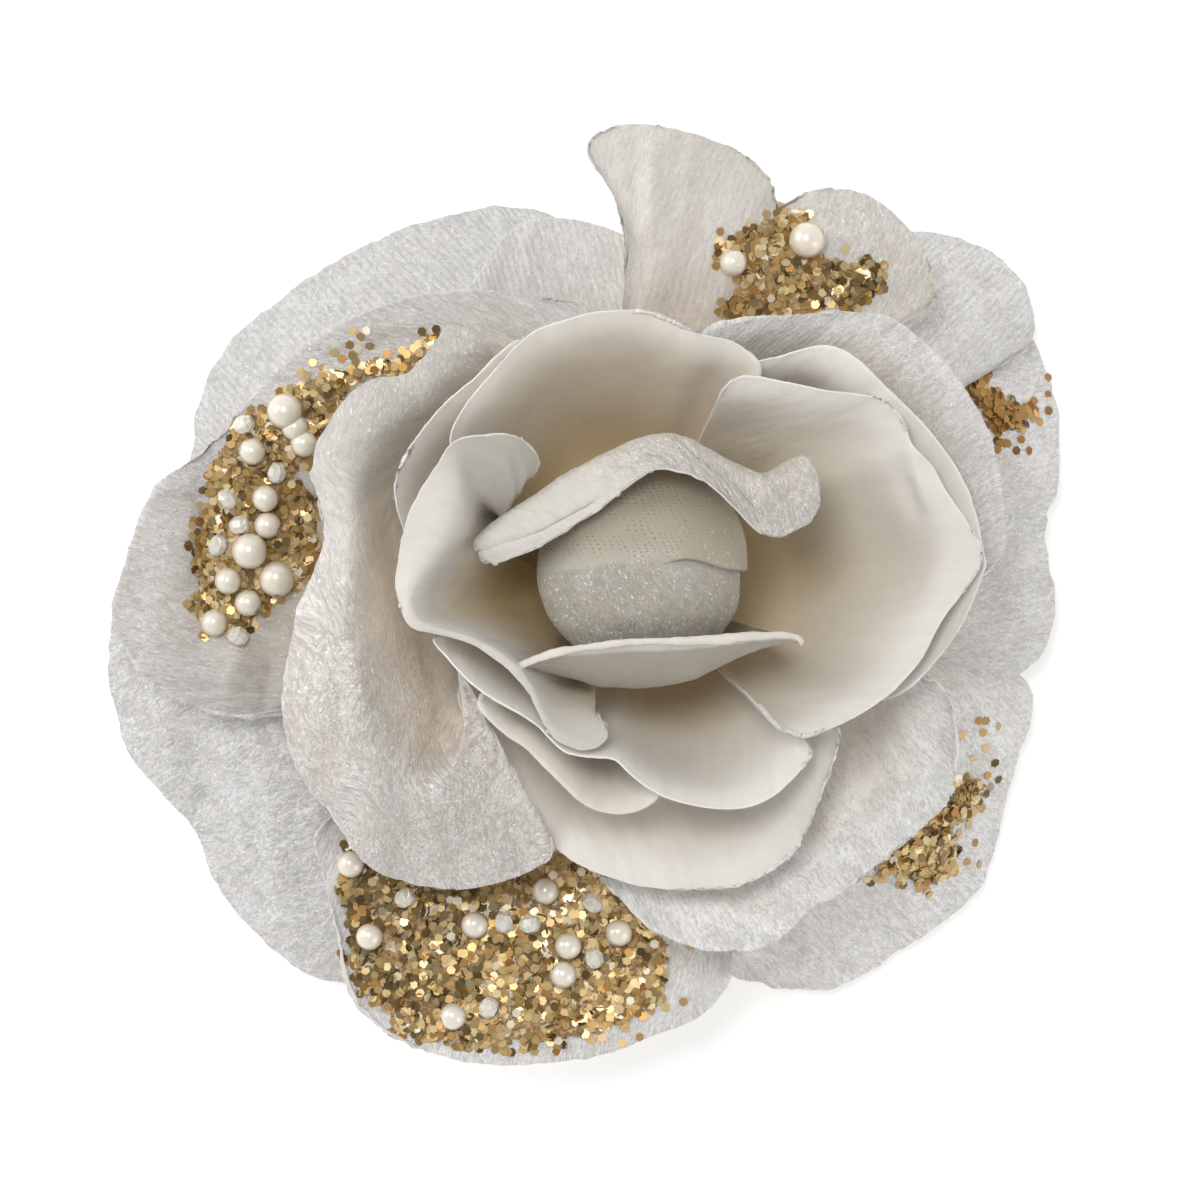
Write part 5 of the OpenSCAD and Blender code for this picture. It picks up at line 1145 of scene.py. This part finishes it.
for node, (petal, spots) in BEADS.items():
    Vs = []
    for x, y, turn in spots:
        q = at_grid(petal, (x, y))
        c = q[0] + np.array([0, 0, 0.42 * 2.2])
        tilt, az = math.radians(70), math.radians(turn)
        axis = np.array([math.sin(tilt) * math.cos(az), math.sin(tilt) * math.sin(az), math.cos(tilt)])
        a = unit(np.cross(axis, [0.1, 0.2, 0.97]))
        b = np.cross(axis, a)
        rad = np.array([0.28, 0.28, 0.28, 0.36, 0.72, 1.04, 1.04, 0.72, 0.36, 0.28])
        h = np.array([-0.3, 0.3, 1.04, 1.08, 1.00, 0.42, -0.42, -1.00, -1.08, -1.04])
        V = np.zeros((8, 10, 3))
        for i in range(8):
            for j in range(10):
                ph = (i + (0.5 if j in (5, 6) else 0)) * math.pi / 4
                V[i, j] = c + rad[j] * (math.cos(ph) * a + math.sin(ph) * b) + h[j] * axis
        Vs.append(V)
    verts, quads = ring_mesh(Vs)
    tris = np.concatenate([quads[:, [0, 1, 2]], quads[:, [0, 2, 3]]])
    o = mesh_object(node + "_cut", verts, np.zeros((0, 4), int), tris, np.zeros(len(tris)), [MATERIAL["glass"]], smooth=False)
    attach(o, "flower")
    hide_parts(node)

# ---------------------------------------------------------------- felt, glue and the clip
def disc_felt():
    """The felt disc, a little uneven at its edge."""
    f = Field(501)
    az = np.linspace(0, 2 * math.pi, 180, endpoint=False)
    R = 17.0 - 0.10 - 0.12 * np.abs(f(np.cos(az) * 9, np.sin(az) * 9, 3))
    rows = []
    for rr, z in [(0.04, 11.02), (0.25, 11.02), (0.5, 11.02), (0.75, 11.02), (0.9, 11.02), (0.985, 11.06), (1.0, 11.3), (1.003, 11.75), (1.0, 12.2), (0.985, 12.44), (0.9, 12.48), (0.75, 12.48), (0.5, 12.48), (0.25, 12.48), (0.04, 12.48)]:
        wob = 0.05 * f(np.cos(az) * rr * 8 + z, np.sin(az) * rr * 8, 3)
        rows.append(np.stack([HUB[0] + R * rr * np.cos(az), HUB[1] + R * rr * np.sin(az), z + wob * (1 if rr > 0.9 else 0.3)], -1))
    return np.stack(rows, 1)


disc = revolved("felt_disc_pad", disc_felt(), [felt()])
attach(disc, "flower")
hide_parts("felt_disc")

profile = along(np.array([[0.05, 12.52], [7, 12.52], [13.6, 12.52], [14.5, 12.62], [14.4, 13.2], [13.9, 13.9], [13, 14.8], [11.6, 15.8], [10.2, 16.8], [8.8, 17.7], [7.4, 18.7], [6, 19.7], [4.6, 20.3], [2.4, 20.5], [0.05, 20.55]]), np.linspace(0, 1, 70))
az = np.linspace(0, 2 * math.pi, 160, endpoint=False)
f = Field(601)
blob = 1 + 0.05 * f(np.cos(az)[:, None] * 4 + profile[None, :, 1] / 3, np.sin(az)[:, None] * 4 + profile[None, :, 1] / 2, 3) * soft(12.5, 13.2, profile[:, 1])[None, :]
V = np.stack([HUB[0] + profile[None, :, 0] * blob * np.cos(az)[:, None], HUB[1] + profile[None, :, 0] * blob * np.sin(az)[:, None], np.broadcast_to(profile[None, :, 1], blob.shape)], -1)
hub = revolved("glue_hub_melt", V, [hot_glue()])
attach(hub, "flower")
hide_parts("glue_hub")


def tube(name, line, r, sides, material, node=None):
    """A round wire along a line of points in mm, with closed ends."""
    line = np.asarray(line, float)
    t = unit(np.gradient(line, axis=0))
    n = np.zeros_like(t)
    n[0] = unit(np.cross(t[0], [0.0, 1.0, 0.13]))
    for i in range(1, len(t)):
        v = n[i - 1] - t[i] * np.dot(n[i - 1], t[i])
        n[i] = unit(v)
    b = np.cross(t, n)
    ph = np.arange(sides) / sides * 2 * math.pi
    V = line[None] + r * (np.cos(ph)[:, None, None] * n[None] + np.sin(ph)[:, None, None] * b[None])
    ends = [line[0] - t[0] * r * 0.3, line[-1] + t[-1] * r * 0.3]
    m, k = V.shape[:2]
    idx = np.arange(m * k).reshape(m, k)
    nx = np.roll(idx, -1, 0)
    quads = np.stack([idx[:, :-1].ravel(), nx[:, :-1].ravel(), nx[:, 1:].ravel(), idx[:, 1:].ravel()], 1)
    tris = np.concatenate([np.stack([nx[:, 0], idx[:, 0], np.full(m, m * k)], 1), np.stack([idx[:, -1], nx[:, -1], np.full(m, m * k + 1)], 1)])
    o = mesh_object(name, np.concatenate([V.reshape(-1, 3), np.array(ends)]), quads, tris, np.zeros(len(quads) + len(tris)), [material])
    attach(o, "flower")
    if node:
        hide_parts(node)
    return o


spring_mat = nickel("spring_wire", (0.50, 0.50, 0.52), (2.0, 14.0, 2.0), 0.22)
hx, hz, coil_r, width_c = 8.0, 7.5, 2.29, 3.5 * 0.78
line = [[hx + 15, -width_c / 2, hz + coil_r], [hx + 11, -width_c / 2, hz + coil_r], [hx + 7, -width_c / 2, hz + coil_r], [hx + 3.5, -width_c / 2, hz + coil_r]]
for i in range(169):
    a = math.radians(90 + 3.5 * 360 * i / 168)
    line.append([hx + coil_r * math.cos(a), -width_c / 2 + width_c * i / 168, hz + coil_r * math.sin(a)])
line += [[hx + 2.0, width_c / 2, hz - coil_r], [hx + 4.2, width_c / 2, hz - coil_r], [hx + 7.4, width_c / 2, 4.26], [hx + 10.6, width_c / 2, 3.32]]
tube("torsion_spring_wire", [[p[0] + HUB[0], p[1] + HUB[1], p[2]] for p in line], 0.35, 14, spring_mat, "torsion_spring")

steel = nickel("nickel_plate", (0.66, 0.655, 0.64), (0.8, 9.0, 9.0), 0.20)
lever = nickel("nickel_plate_lever", (0.68, 0.675, 0.66), (0.8, 9.0, 9.0), 0.18)
pin = nickel("nickel_pin", (0.58, 0.575, 0.56), (6.0, 1.0, 6.0), 0.25)
for node, m in (("clip_fixed_jaw", steel), ("clip_moving_jaw", lever), ("hinge_pin", pin)):
    me = NODE[node].data
    me.materials.clear()
    me.materials.append(m)

# ---------------------------------------------------------------- floor
bpy.ops.mesh.primitive_plane_add(size=6, location=(0, 0, -0.0002))
floor = bpy.context.object
floor.name = "studio_floor"
floor.data.materials.append(studio_floor())
